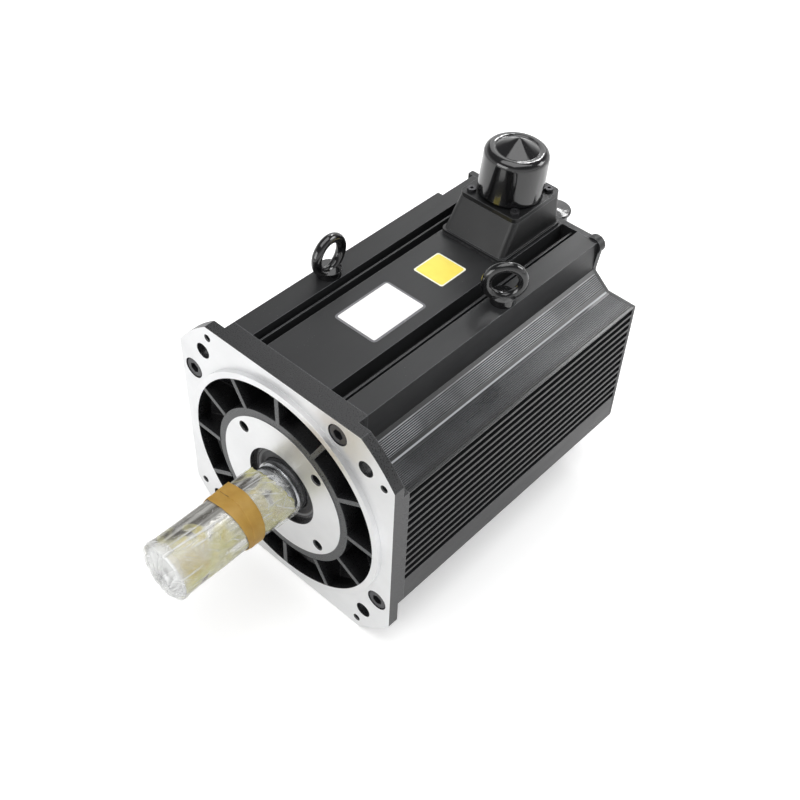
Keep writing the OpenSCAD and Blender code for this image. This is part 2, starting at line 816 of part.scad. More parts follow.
// ---------------------------------------------------------------- stator and rotor
module slot_cut(w, depth) {
    for (i = [0 : slots - 1]) rotate(i * 360 / slots)
        translate([stator_bore / 2 + slot_depth - depth, -w / 2]) square([depth, w]);
}
module stator_core() {
    color(steel) prism_y(stator_y, stator_l) difference() {
        circle(stator_d / 2);
        circle(stator_bore / 2);
        slot_cut(slot_w, slot_depth - 2);
        slot_cut(slot_w / 2, slot_depth + lap);
    }
}
module windings() {
    head_ri = stator_bore / 2 + 2 + slot_gap;
    head_ro = stator_bore / 2 + slot_depth - slot_gap;
    color(copper) {
        prism_y(stator_y - winding_l + lap, stator_l + 2 * (winding_l - lap)) difference() {
            slot_cut(slot_w - 2 * slot_gap, slot_depth - 2 - slot_gap);
            difference() {
                circle(stator_d);
                circle(head_ro);
            }
        }
        for (y = [stator_y - winding_l, stator_end + slot_gap])
            tube_y(y, winding_l - slot_gap, head_ro, head_ri);
    }
}
module shaft() {
    tip = -shaft_l;
    r = shaft_d / 2;
    color(bare_metal) difference() {
        turn_y() polygon([
            [0, tip], [r - tip_chamfer, tip], [r, tip + tip_chamfer], [r, -shoulder_y],
            [seat_d / 2, -shoulder_y], [seat_d / 2, front_back], [step_d / 2, front_back],
            [step_d / 2, rotor_shaft_y], [rotor_shaft_d / 2, rotor_shaft_y],
            [rotor_shaft_d / 2, rotor_shaft_end], [rear_seat_d / 2 + 4, rotor_shaft_end],
            [rear_seat_d / 2 + 4, rear_y], [rear_seat_d / 2, rear_y],
            [rear_seat_d / 2, body_rear + 2], [stub_d / 2, body_rear + 2],
            [stub_d / 2, stub_end], [0, stub_end]
        ]);
        key_body(soft_gap / 3);
        rod_y(tip - lap, centre_depth + lap, centre_d / 2);
        translate([0, tip, 0]) rotate([-90, 0, 0])
            cylinder(h = 2.5, r1 = centre_d / 2 + 2.5, r2 = centre_d / 2);
        tube_y(front_y - circlip_t - 2 * seat_gap, circlip_t + 2 * seat_gap,
            seat_d / 2 + lap, seat_d / 2 - circlip_depth);
        tube_y(rear_back, circlip_t + 2 * seat_gap,
            rear_seat_d / 2 + lap, rear_seat_d / 2 - circlip_depth);
    }
}
// Round-ended key, grown by a clearance for its keyway
module key_body(gap = 0) {
    w = key_w + 2 * gap;
    rotate([0, -key_a, 0])
        translate([shaft_d / 2 - key_depth, -shoulder_y - key_offset - key_l / 2, 0])
        rotate([0, 90, 0]) linear_extrude(key_h) {
            square([w, key_l - key_w], center = true);
            for (s = [-1, 1]) translate([0, s * (key_l - key_w) / 2]) circle(w / 2);
        }
}
module key() {
    color(steel) key_body();
}
module rotor_core() {
    color(steel) tube_y(stator_y, stator_l, rotor_r - magnet_t, rotor_shaft_d / 2 + seat_gap);
}
module magnets() {
    half = magnet_arc * 180 / magnets_n;
    far = 2 * rotor_r;
    color(paint) prism_y(stator_y, stator_l)
        for (i = [0 : magnets_n - 1]) rotate(i * 360 / magnets_n) intersection() {
            difference() {
                circle(rotor_r);
                circle(rotor_r - magnet_t + seat_gap);
            }
            polygon([[0, 0], [far * cos(half), -far * sin(half)], [far * cos(half), far * sin(half)]]);
        }
}

// ---------------------------------------------------------------- rear end
module rear_bracket() {
    color(paint) difference() {
        union() {
            prism_y(body_rear, rear_wing) body_section();
            prism_y(body_rear, rear_rim) core_section();
            prism_y(body_rear, rear_rim) polygon([
                [wall_x - lap, valley_z], [wall_x, valley_z], [wall_x + strip_out, lug_z], [lug_x, lug_z]
            ]);
            translate([lug_x, 0, lug_z]) rod_y(body_rear, lug_l, lug_r);
            rod_y(body_rear - register_l, register_l + lap, register_r);
        }
        tube_y(body_rear - register_l - lap, register_l - rear_web + lap,
            register_r - register_wall, rear_hub_r);
        rod_y(body_rear - register_l - lap, register_l + lap, rear_od / 2 + seat_gap);
        rod_y(body_rear - lap, rear_rim + 2 * lap, rear_lip_r);
        rear_screw_places() {
            rod_y(body_rear - lap, rear_rim + 2 * lap, rear_screw_d / 2 + shank_gap);
            countersink(shank_gap);
        }
        cover_screw_places() rod_y(rear_face - 10, 10 + lap, cover_screw_d / 2 + seat_gap);
        ring_of(3, encoder_screw_r, 90)
            rod_y(body_rear - lap, rear_rim + 2 * lap, encoder_screw_d / 2 + seat_gap);
    }
    color(paint) tube_y(rear_y - 3, body_rear - register_l - rear_y + 3 + lap,
        rear_hub_r, rear_od / 2 + seat_gap);
}
// Rear screws in line with the flange screws; $back is the thickness under their heads
module rear_screw_places() {
    let ($back = rear_rim) ring_of(2, screw_r, screw_a) children();
    let ($back = rear_wing) ring_of(2, screw_r, screw_a + 90) children();
}
// Sunk head of a rear screw, widest at the face of the rear bracket
module countersink(gap) {
    head = 0.55 * rear_screw_d;
    translate([0, body_rear + $back - head, 0]) rotate([-90, 0, 0])
        cylinder(h = head, r1 = rear_screw_d / 2 + gap, r2 = rear_screw_d / 2 + gap + head);
}
module rear_screws() {
    color(steel) rear_screw_places() difference() {
        union() {
            rod_y(body_rear - rear_screw_grip, rear_screw_grip + $back, rear_screw_d / 2);
            countersink(0);
        }
        translate([0, body_rear + $back - 2.5, 0]) rotate([-90, 0, 0])
            cylinder(h = 3, r = 0.35 * rear_screw_d, $fn = 6);
    }
}
module rear_bearing_outer() {
    color(steel) outer_race(rear_y, rear_w, rear_od, rear_pitch, rear_ball_d);
}
module rear_bearing_inner() {
    color(steel) inner_race(rear_y, rear_w, rear_seat_d + 2 * seat_gap, rear_pitch, rear_ball_d);
}
module rear_bearing_balls() {
    color(bare_metal) balls(rear_y, rear_w, rear_pitch, rear_ball_d, rear_balls);
}
module rear_bearing_cage() {
    color(copper) cage(rear_y, rear_w, rear_pitch, rear_ball_d, rear_balls);
}
module rear_circlip() {
    color(steel) circlip(rear_back + seat_gap, rear_seat_d);
}
module wave_spring() {
    color(steel) tube_y(rear_back, spring_t, rear_od / 2 - seat_gap, rear_od / 2 - 6);
}
module encoder_housing() {
    color(bare_metal) difference() {
        union() {
            rod_y(rear_face, encoder_l, encoder_d / 2);
            rod_y(rear_face, 3, encoder_d / 2 + encoder_foot);
        }
        rod_y(rear_face - lap, encoder_l - encoder_wall + lap, encoder_d / 2 - encoder_wall);
        ring_of(3, encoder_screw_r, 90) rod_y(rear_face - lap, 6, encoder_screw_d / 2 + shank_gap);
    }
    color(steel) ring_of(3, encoder_screw_r, 90) {
        rod_y(rear_face - encoder_screw_grip, encoder_screw_grip + 3 + lap, encoder_screw_d / 2);
        rod_y(rear_face + 3, 2.4, 0.8 * encoder_screw_d);
    }
}
module encoder_disc() {
    color(steel) {
        tube_y(disc_y - 8, 8 + lap, stub_d / 2 + 4, stub_d / 2 + seat_gap);
        tube_y(disc_y, 2, disc_d / 2, stub_d / 2 + seat_gap);
    }
}
module encoder_board() {
    color("darkgreen") {
        rod_y(board_y, 1.6, encoder_d / 2 - encoder_wall - seat_gap);
        translate([-5, board_y - 1.5, -5]) cube([10, 1.5 + lap, 10]);
    }
    color(steel) ring_of(3, encoder_d / 2 - encoder_wall - 4, 30)
        rod_y(board_y, rear_face + encoder_l - encoder_wall - board_y, 2);
}
module cover_screw_places() {
    ring_of(4, cover_screw_r, 45) children();
}
module encoder_cover() {
    back = rear_face + cover_l;
    color(paint) difference() {
        union() {
            turn_y() polygon([
                [0, rear_face], [cover_r, rear_face], [cover_r, back - cover_chamfer],
                [cover_r - cover_chamfer, back], [0, back]
            ]);
            translate([-signal_pad, signal_y - signal_pad, 0])
                cube([2 * signal_pad, back - signal_y + signal_pad, signal_z]);
        }
        difference() {
            rod_y(rear_face - lap, cover_l - cover_wall + lap, cover_r - cover_wall);
            cover_screw_places() rod_y(rear_face - 2 * lap, cover_l, cover_screw_d + 2);
        }
        cover_screw_places() {
            rod_y(rear_face - lap, cover_l + 2 * lap, cover_screw_d / 2 + shank_gap);
            rod_y(back - cover_screw_d - 0.5, cover_screw_d + 2 * lap, 0.85 * cover_screw_d + 0.5);
        }
        translate([0, signal_y, cover_r - cover_wall - lap])
            cylinder(h = cover_r, r = signal_bore / 2 - 2);
        translate([0, signal_y, signal_z - signal_screw_l]) four_corners(signal_screw)
            cylinder(h = signal_screw_l + lap, r = signal_screw_d / 2 + seat_gap);
    }
}
module cover_screws() {
    back = rear_face + cover_l;
    color(steel) cover_screw_places() mirror([0, 1, 0])
        cap_screw_y(-back + 0.5, cover_screw_d, cover_l + 8 - cover_screw_d);
}

// ---------------------------------------------------------------- encoder connector
module signal_connector() {
    color(bare_metal) translate([0, signal_y, 0]) difference() {
        union() {
            translate([0, 0, signal_z]) linear_extrude(signal_t) round_rect(signal_w, signal_w, 3);
            translate([0, 0, signal_z]) cylinder(h = signal_t + signal_barrel_h, r = signal_barrel_d / 2);
        }
        translate([0, 0, signal_z - lap]) cylinder(h = signal_top, r = signal_bore / 2 - 2);
        translate([0, 0, signal_insert_z]) cylinder(h = signal_top, r = signal_bore / 2);
        translate([0, 0, signal_z - lap]) four_corners(signal_screw)
            cylinder(h = signal_t + 2 * lap, r = signal_screw_d / 2 + shank_gap / 2);
    }
}
module pin_places(n, r) {
    for (i = [0 : n - 1]) rotate(i * 360 / n) translate([r, 0, 0]) children();
    children();
}
module signal_insert() {
    color(black_gloss) translate([0, signal_y, signal_insert_z]) difference() {
        cylinder(h = signal_insert_h, r = signal_bore / 2 - seat_gap);
        translate([0, 0, -lap]) pin_places(signal_pins, signal_bore / 2 - 3.4)
            cylinder(h = signal_insert_h + 2 * lap, r = 0.5 + seat_gap, $fn = 24);
    }
}
module signal_pins_set() {
    color(copper) translate([0, signal_y, signal_insert_z - 3])
        pin_places(signal_pins, signal_bore / 2 - 3.4)
        cylinder(h = signal_pin_top - signal_insert_z + 3, r = 0.5, $fn = 24);
}
module signal_screws() {
    color(steel) translate([0, signal_y, 0]) four_corners(signal_screw)
        pan_screw(signal_seat, signal_screw_d, signal_t + signal_screw_l - lap);
}
// Half section of a push-on cap: foot, drafted wall, fillet, valley and cone
module cap_section(ro, draft, h, fillet, cone, ri, hi) {
    rt = ro - draft;
    difference() {
        union() {
            polygon([[0, 0], [ro, 0], [rt, h - fillet], [0, h - fillet]]);
            translate([rt - fillet, h - fillet]) circle(fillet);
            polygon([[0, 0], [rt - fillet, 0], [rt - fillet, h], [rt - fillet - 1.5, h - 1.2],
                [0, h - 1.2 + cone + 1.2]]);
        }
        translate([0, -lap]) square([ri, hi + lap]);
    }
}
module signal_cap() {
    r = signal_cap_d / 2;
    brim = signal_brim_d / 2;
    h = signal_cap_h;
    color(black_gloss) translate([0, signal_y, signal_seat + cap_seat]) rotate_extrude()
        difference() {
            union() {
                polygon([[0, 0], [r, 0], [r, h - signal_brim_t], [brim - signal_brim_t / 2, h - signal_brim_t],
                    [brim - signal_brim_t / 2, h], [0, h + 1]]);
                translate([brim - signal_brim_t / 2, h - signal_brim_t / 2]) circle(signal_brim_t / 2);
            }
            translate([0, -lap]) square([signal_barrel_d / 2 + cap_gap, signal_barrel_h + cap_room + lap]);
        }
}

// ---------------------------------------------------------------- power connector
module box_foot_section(inset) {
    translate([0, power_y + (box_rear - box_front) / 2])
        round_rect(2 * (box_foot - inset), box_front + box_rear - 2 * inset, socket_r);
}
// Drafted block from the foot outline at z up to the receptacle outline
module box_taper(z, foot_inset, head_inset) {
    thin = 0.01;
    hull($fn = 32) {
        translate([0, 0, z]) linear_extrude(thin, $fn = 32) box_foot_section(foot_inset);
        translate([0, power_y, box_top - thin]) linear_extrude(thin, $fn = 32)
            round_rect(socket_w - 2 * head_inset, socket_w - 2 * head_inset, socket_r - head_inset / 2);
    }
}
module box_screw_places() {
    for (x = [-box_screw_x, box_screw_x], y = [power_y - box_screw_front, power_y + box_screw_rear])
        translate([x, y, 0]) children();
}
module power_box() {
    color(paint) difference() {
        union() {
            difference() {
                union() {
                    translate([0, 0, gasket_z]) linear_extrude(box_rim) box_foot_section(0);
                    box_taper(gasket_z + box_rim, box_draft, 0);
                }
                box_taper(floor_z, 2 * box_draft + box_wall, box_wall);
                translate([0, power_y, box_top - lap])
                    linear_extrude(2 * lap) square(socket_w - 2 * box_wall - 2, center = true);
            }
            translate([0, power_y, box_top - 14]) four_corners(socket_screw)
                cylinder(h = 14, r = socket_screw_d / 2 + 2.5);
        }
        translate([0, power_y, gasket_z - lap]) cylinder(h = box_floor + 2 * lap, r = passage_d / 2);
        translate([0, 0, gasket_z - lap]) box_screw_places()
            cylinder(h = box_floor + 2 * lap, r = box_screw_d / 2 + shank_gap);
        translate([0, power_y, box_top - 12]) four_corners(socket_screw)
            cylinder(h = 12 + lap, r = socket_screw_d / 2 + seat_gap);
    }
}
module box_gasket() {
    color(black_gloss) translate([0, 0, top_z]) linear_extrude(gasket_t) difference() {
        box_foot_section(0);
        box_foot_section(4.5);
    }
}
module box_screws() {
    color(steel) box_screw_places() pan_screw(floor_z, box_screw_d, box_floor + gasket_t + 9);
}
module power_receptacle() {
    color(paint) translate([0, power_y, 0]) difference() {
        union() {
            translate([0, 0, box_top]) linear_extrude(socket_t) round_rect(socket_w, socket_w, socket_r);
            translate([0, 0, box_top]) cylinder(h = socket_t + barrel_h, r = barrel_d / 2);
        }
        translate([0, 0, box_top - lap]) cylinder(h = barrel_top, r = barrel_bore / 2 - 3);
        translate([0, 0, insert_z]) cylinder(h = barrel_top, r = barrel_bore / 2);
        translate([0, 0, box_top - lap]) four_corners(socket_screw)
            cylinder(h = socket_t + 2 * lap, r = socket_screw_d / 2 + shank_gap);
    }
}
module power_insert() {
    color(black_gloss) translate([0, power_y, insert_z]) difference() {
        cylinder(h = insert_h, r = barrel_bore / 2 - seat_gap);
        translate([0, 0, -lap]) pin_places(pins_n, barrel_bore / 2 - 7.5)
            cylinder(h = insert_h + 2 * lap, r = pin_d / 2 + seat_gap);
    }
}
module power_pins() {
    color(copper) translate([0, power_y, insert_z - 6]) pin_places(pins_n, barrel_bore / 2 - 7.5)
        cylinder(h = pin_top - insert_z + 6, r = pin_d / 2);
}
module receptacle_screws() {
    color(steel) translate([0, power_y, 0]) four_corners(socket_screw)
        pan_screw(socket_z, socket_screw_d, socket_t + 9);
}
module power_cap() {
    lift = cap_seat + cap_d / 2 * sin(cap_lean);
    color(black_gloss) translate([0, power_y, socket_z + lift])
        rotate([0, 0, cap_turn]) rotate([0, cap_lean, 0]) rotate_extrude()
        cap_section(cap_d / 2, cap_draft, cap_h, cap_fillet, cap_cone, barrel_d / 2 + cap_loose,
            barrel_h + cap_room);
}

// ---------------------------------------------------------------- lifting eyes
module eye_place(side, y, a) {
    translate([side * (groove_x + wall_x) / 2, y, top_z]) rotate([0, 0, a]) children();
}
module eye_bolt() {
    color(black_gloss) {
        translate([0, 0, eye_od / 2]) rotate([90, 0, 0]) rotate_extrude()
            translate([(eye_od - eye_wire) / 2, 0]) circle(eye_wire / 2);
        cylinder(h = eye_foot_h, r = eye_foot_d / 2);
        translate([0, 0, -eye_shank]) cylinder(h = eye_shank + lap, r = eye_thread / 2);
    }
}
module eye_bolt_left() {
    eye_place(-1, eye_left_y, eye_left_a) eye_bolt();
}
module eye_bolt_right() {
    eye_place(1, eye_right_y, eye_right_a) eye_bolt();
}

// ---------------------------------------------------------------- transport wrap
// Round section that is drawn tight over the key, grown outwards
module tent_section(r, grow) {
    kt = key_top + soft_gap + film_t + grow;
    kw = key_w / 2 + soft_gap + film_t + grow;
    t = atan2(kw, kt) + acos(r / norm([kt, kw]));
    circle(r);
    rotate(key_a) polygon([[kt, -kw], [kt, kw], [r * cos(t), r * sin(t)], [r * cos(t), -r * sin(t)]]);
}
module shaft_wrap() {
    tip = -shaft_l - film_tip;
    key_end = -shoulder_y - key_offset - key_l;
    color(film) difference() {
        union() {
            turn_y() polygon([
                [0, -film_y], [film_r + paper_puff, -film_y], [film_r + paper_puff, -rubber_y + 7],
                [film_r, -rubber_y], [film_r, tip + 2], [film_r - 2, tip], [0, tip]
            ]);
            prism_y(key_end - 2, key_l + 4) tent_section(film_r, 0);
        }
        rod_y(-shaft_l - soft_gap, shaft_l, film_in);
        prism_y(key_end - soft_gap, key_l + 2 * soft_gap) rotate(key_a)
            translate([0, -key_w / 2 - soft_gap]) square([key_top + soft_gap, key_w + 2 * soft_gap]);
    }
}
module rubber_band() {
    color(amber) prism_y(-rubber_y - rubber_l, rubber_w) difference() {
        tent_section(film_r + soft_gap + rubber_t, soft_gap + rubber_t);
        tent_section(film_r + soft_gap, soft_gap);
    }
    color(amber) prism_y(-rubber_y - rubber_w, rubber_w) difference() {
        tent_section(film_r + soft_gap + 0.85 * rubber_t, soft_gap + 0.85 * rubber_t);
        tent_section(film_r + soft_gap, soft_gap);
    }
}

front_bracket();
flange_screws();
shaft_seal();
bearing_retainer();
retainer_screws();
front_bearing_outer();
front_bearing_inner();
front_bearing_balls();
front_bearing_cage();
front_circlip();
frame();
side_cooler_right();
side_cooler_left();
stator_core();
windings();
shaft();
key();
rotor_core();
magnets();
rear_bracket();
rear_screws();
rear_bearing_outer();
rear_bearing_inner();
rear_bearing_balls();
rear_bearing_cage();
rear_circlip();
wave_spring();
encoder_housing();
encoder_disc();
encoder_board();
encoder_cover();
cover_screws();
signal_connector();
signal_insert();
signal_pins_set();
signal_screws();
signal_cap();
power_box();
box_gasket();
box_screws();
power_receptacle();
power_insert();
power_pins();
receptacle_screws();
power_cap();
eye_bolt_left();
eye_bolt_right();
shaft_wrap();
rubber_band();
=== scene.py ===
import math

import bmesh
import bpy
from bpy.props import FloatProperty, FloatVectorProperty, IntProperty, PointerProperty
from bpy.types import Operator, Panel, PropertyGroup
from mathutils import Matrix, Vector, noise


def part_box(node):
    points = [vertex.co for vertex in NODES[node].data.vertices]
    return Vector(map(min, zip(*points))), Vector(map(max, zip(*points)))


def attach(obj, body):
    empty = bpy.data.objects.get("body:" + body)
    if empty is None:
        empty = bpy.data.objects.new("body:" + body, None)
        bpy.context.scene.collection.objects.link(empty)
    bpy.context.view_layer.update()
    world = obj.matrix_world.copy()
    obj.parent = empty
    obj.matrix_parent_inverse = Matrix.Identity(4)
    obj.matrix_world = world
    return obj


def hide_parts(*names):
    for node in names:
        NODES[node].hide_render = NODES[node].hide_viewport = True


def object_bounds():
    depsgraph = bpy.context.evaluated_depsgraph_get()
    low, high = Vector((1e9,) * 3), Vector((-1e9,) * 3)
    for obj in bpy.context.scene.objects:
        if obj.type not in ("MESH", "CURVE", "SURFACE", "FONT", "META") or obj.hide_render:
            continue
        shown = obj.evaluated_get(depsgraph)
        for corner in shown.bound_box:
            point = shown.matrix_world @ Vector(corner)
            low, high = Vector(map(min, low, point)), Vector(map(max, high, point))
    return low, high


bl_info = {
    "name": "Servo Motor",
    "version": (1, 0, 0),
    "blender": (4, 5, 0),
    "location": "View3D > Sidebar > Servo Motor",
    "description": "Finishes, transport wrap, plates and studio for a flange-mounted servo motor",
    "category": "Object",
}

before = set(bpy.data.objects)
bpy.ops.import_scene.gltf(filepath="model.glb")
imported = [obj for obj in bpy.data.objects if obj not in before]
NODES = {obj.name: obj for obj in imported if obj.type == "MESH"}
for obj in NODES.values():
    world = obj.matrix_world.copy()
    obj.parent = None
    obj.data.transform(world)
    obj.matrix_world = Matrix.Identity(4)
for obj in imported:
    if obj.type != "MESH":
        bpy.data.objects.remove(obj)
CAD_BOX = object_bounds()
MM = 0.001


# ---------------- frame sizes
def low(node, axis):
    """Lowest corner of a CAD node along axis 0, 1 or 2."""
    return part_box(node)[0][axis]


def high(node, axis):
    """Highest corner of a CAD node along axis 0, 1 or 2."""
    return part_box(node)[1][axis]


# Shaft and key, and where the wrap and the band begin and end along them
SHAFT_R = 21.0 * MM
KEY_ANGLE = math.radians(150.0)
KEY_HALF = 6.0 * MM
KEY_TOP = 24.0 * MM
WRAP_FOOT = high("shaft_wrap", 1)
WRAP_TIP = low("shaft_wrap", 1)
BAND_FOOT = high("rubber_band", 1)
BAND_TIP = low("rubber_band", 1)

# Housing: its top, and the slope with the flutes on each side
TOP_Z = high("frame", 2)
SIDE_X = high("side_cooler_right", 0)
WALL_X = low("side_cooler_right", 0)
SLOPE = (16.5 * MM, 13.6 * MM)
VALLEY_Z = 82.0 * MM
RIDGE_X = WALL_X + SLOPE[0]
RIDGE_Z = VALLEY_Z - SLOPE[1]

# Radii of the front bracket, from the recess of the seal out to the spigot
SEAL_R = 31.0 * MM
RECESS_R = 34.5 * MM
HUB_R = 62.3 * MM
RING_R = 69.0 * MM
POCKET_R = 94.4 * MM
SPIGOT_R = 100.0 * MM

# Room that each skin leaves round the shaft, and over the key
PAPER_ROOM = (0.30 * MM, 0.35 * MM)
FILM_ROOM = (0.62 * MM, 0.50 * MM)
TAG_ROOM = (1.15 * MM, 0.70 * MM)
BAND_ROOM = (0.95 * MM, 0.85 * MM)
PAPER_THICK = 0.14 * MM
FILM_THICK = 0.06 * MM
TAG_THICK = 0.05 * MM

# Wrap: where its pleats start, their limits before and behind, its upper side and its knot
FOLD_START = WRAP_TIP + 3.4 * MM
FOLD_REACH = WRAP_TIP - 2.8 * MM
FOLD_FLOOR = low("shaft", 1) - 0.2 * MM
UPPER_SIDE = math.radians(100.0)
KNOT = (4.5 * MM, -8.5 * MM)
# Its folds: turn from the axis in degrees, waves per millimetre across and along, share
FOLDS = ((4.0, 0.16, 0.018, 0.5), (36.0, 0.20, 0.035, 0.45), (-44.0, 0.26, 0.045, 0.35))

# Rubber band: each turn's thickness, half width, lean and distance from the middle
BAND_THICK = 0.60 * MM
BAND_HALF = 5.4 * MM
BAND_LEAN = 2.1 * MM
BAND_STEP = 3.4 * MM

# Middles of the nameplate and the sticker, across and along the motor
PLATE_PLACE = (0.75 * MM, 101.75 * MM)
STICKER_PLACE = (0.0, 169.0 * MM)

# Floor: gap under the motor, and where and how far it turns white for the camera
FLOOR_HALF = 6.0
FLOOR_GAP = 0.05 * MM
FLOOR_FADE = (0.9, 2.2)
FLOOR_GLOW = (0.32, 1.0)

# Tints that dust, wear and shade give to the finishes, and the painted highlights, painted
# reflection and painted shade on them
# Lighter edge tint: part wear, part painted highlight where edges catch the light
EDGE_WEAR_AND_HIGHLIGHT = (0.30, 0.31, 0.325)
PALE_DUST = (0.50, 0.50, 0.48)
# Painted highlights on the cooler flutes, on their flat and along their ridge
LAND_HIGHLIGHT = (0.46, 0.47, 0.49)
FLAT_HIGHLIGHT = (0.26, 0.27, 0.285)
RIDGE_HIGHLIGHT = (0.42, 0.43, 0.45)
CAST_RIB = (0.042, 0.045, 0.047)
# Painted shade for the bracket's deep pocket and the hole round the seal
POCKET_PAINTED_SHADE = (0.004, 0.004, 0.0045)
TURNED_LIP = (0.10, 0.10, 0.104)
# Painted reflection: darker streak tint on the turned faces
REFLECTION_STREAK_TINT = (0.42, 0.41, 0.385)


# ---------------- shader tools
class Wiring:
    """Builds a node tree link by link."""

    def __init__(self, tree):
        self.tree = tree
        self._place = None

    def node(self, kind, sockets=None, **settings):
        """A new node with its settings, and with values or links on its sockets."""
        made = self.tree.nodes.new(kind)
        for key, value in settings.items():
            setattr(made, key, value)
        for socket, value in (sockets or {}).items():
            self.feed(made, socket, value)
        return made

    def feed(self, node, socket, value):
        """Links a socket, or sets the number or colour on it."""
        if isinstance(value, bpy.types.NodeSocket):
            self.tree.links.new(value, node.inputs[socket])
        elif isinstance(value, tuple) and len(value) == 3 and node.inputs[socket].type == "RGBA":
            node.inputs[socket].default_value = (*value, 1.0)
        else:
            node.inputs[socket].default_value = value

    def place(self):
        """Object coordinates, in metres of the frame."""
        if self._place is None:
            self._place = self.node("ShaderNodeTexCoord").outputs["Object"]
        return self._place

    def math(self, operation, a, b=0.0, clamp=False):
        """One Math node, of sockets or numbers."""
        made = self.node("ShaderNodeMath", {0: a, 1: b}, operation=operation, use_clamp=clamp)
        return made.outputs[0]

    def times(self, a, b):
        return self.math("MULTIPLY", a, b)

    def plus(self, a, b, clamp=False):
        return self.math("ADD", a, b, clamp=clamp)

    def minus(self, a, b):
        return self.math("SUBTRACT", a, b)

    def stretch(self, scale):
        """Object coordinates, scaled along each axis."""
        return self.node("ShaderNodeMapping", {"Vector": self.place(), "Scale": scale}).outputs[0]

    def noise(self, per_metre, detail=3.0, roughness=0.5, stretch=None, distortion=0.0):
        """Cloudy noise from 0 to 1."""
        made = self.node("ShaderNodeTexNoise", {
            "Vector": self.stretch(stretch) if stretch else self.place(), "Scale": per_metre,
            "Detail": detail, "Roughness": roughness, "Distortion": distortion})
        return made.outputs["Fac"]

    def cells(self, per_metre):
        """Distance from the nearest of many scattered points."""
        made = self.node("ShaderNodeTexVoronoi", {"Vector": self.place(), "Scale": per_metre})
        return made.outputs["Distance"]

    def ramp(self, value, start, end, low_value=0.0, high_value=1.0):
        """Goes from the low to the high value between start and end, and stays there."""
        made = self.node("ShaderNodeMapRange", {
            "Value": value, "From Min": start, "From Max": end,
            "To Min": low_value, "To Max": high_value}, clamp=True)
        return made.outputs[0]

    def mix(self, factor, a, b, blend="MIX"):
        """Colour a where the factor is 0 and b where it is 1."""
        made = self.node("ShaderNodeMix", {0: factor, 6: a, 7: b},
                         data_type="RGBA", blend_type=blend)
        return made.outputs[2]

    def axis(self, index, source=None):
        """One coordinate of the place, or of another vector."""
        return self.node("ShaderNodeSeparateXYZ", {0: source or self.place()}).outputs[index]

    def facing(self):
        """Direction of the face."""
        return self.node("ShaderNodeNewGeometry").outputs["Normal"]

    def normal(self, index):
        """One coordinate of the face's direction."""
        return self.axis(index, self.facing())

    def size_of(self, value):
        """The value without its sign."""
        return self.math("ABSOLUTE", value)

    def wrinkles(self, turn, across, along, seed=0.0, detail=2.0):
        """Noise drawn out into streaks on the rolled-out skin of the shaft."""
        angle = self.math("ARCTAN2", self.axis(0), self.axis(2))
        arc = self.times(angle, SHAFT_R)
        unrolled = self.node("ShaderNodeCombineXYZ", {0: arc, 1: self.axis(1)})
        turned = self.node("ShaderNodeVectorRotate", {
            "Vector": unrolled.outputs[0], "Angle": math.radians(turn)}, rotation_type="Z_AXIS")
        drawn = self.node("ShaderNodeMapping", {
            "Vector": turned.outputs[0], "Scale": (across, along, 1.0),
            "Location": (seed, seed * 2.0, seed)})
        made = self.node("ShaderNodeTexNoise", {
            "Vector": drawn.outputs[0], "Scale": 1.0, "Detail": detail, "Distortion": 0.3})
        return made.outputs["Fac"]

    def within(self, value, start, end, blur):
        """1 between two limits, with a soft step of the given width at each."""
        return self.times(self.ramp(value, start - blur, start), self.ramp(value, end + blur, end))

    def radius(self):
        """Distance from the motor axis, in metres."""
        x, z = self.axis(0), self.axis(2)
        return self.math("SQRT", self.plus(self.times(x, x), self.times(z, z)))

    def bump(self, height, depth, strength=1.0, onto=None):
        """Normal that a height bends, on top of another normal if one is given."""
        sockets = {"Height": height, "Distance": depth, "Strength": strength}
        if onto is not None:
            sockets["Normal"] = onto
        return self.node("ShaderNodeBump", sockets).outputs[0]

    def soft_edge(self, radius):
        """Normal with the edges rounded to a radius."""
        return self.node("ShaderNodeBevel", {"Radius": radius}, samples=4).outputs[0]

    def edge(self, radius):
        """1 on an edge and 0 away from it."""
        dot = self.node("ShaderNodeVectorMath", {0: self.soft_edge(radius), 1: self.facing()},
                        operation="DOT_PRODUCT")
        return self.ramp(dot.outputs["Value"], 0.995, 0.93)


class Shader(Wiring):
    """A node material with one Principled BSDF."""

    def __init__(self, name):
        self.material = bpy.data.materials.new(name)
        self.material.use_nodes = True
        super().__init__(self.material.node_tree)
        self.bsdf = next(n for n in self.tree.nodes if n.type == "BSDF_PRINCIPLED")

    def set(self, **values):
        """Sets sockets of the Principled BSDF, with _ for a blank in a name."""
        for key, value in values.items():
            self.feed(self.bsdf, key.replace("_", " "), value)


def specks(shader, per_metre, size):
    """Sparse round specks of dust or overspray, as a mask."""
    dots = shader.ramp(shader.cells(per_metre), size, size * 0.5)
    where = shader.ramp(shader.noise(per_metre * 0.09, 2.0), 0.56, 0.66)
    return shader.times(dots, where)


# ---------------- materials
def satin_paint(name, colour, roughness, soft=0.5 * MM, edge_wear_and_highlight=0.30):
    """Sprayed satin paint: fine orange peel, faint clouds, dust specks, and edges made lighter by
    wear and by painted highlight.
    """
    s = Shader(name)
    tone = paint_tone(s, colour, soft * 1.6, edge_wear_and_highlight, 0.35)
    satin_skin(s, tone, roughness, soft)
    return s.material


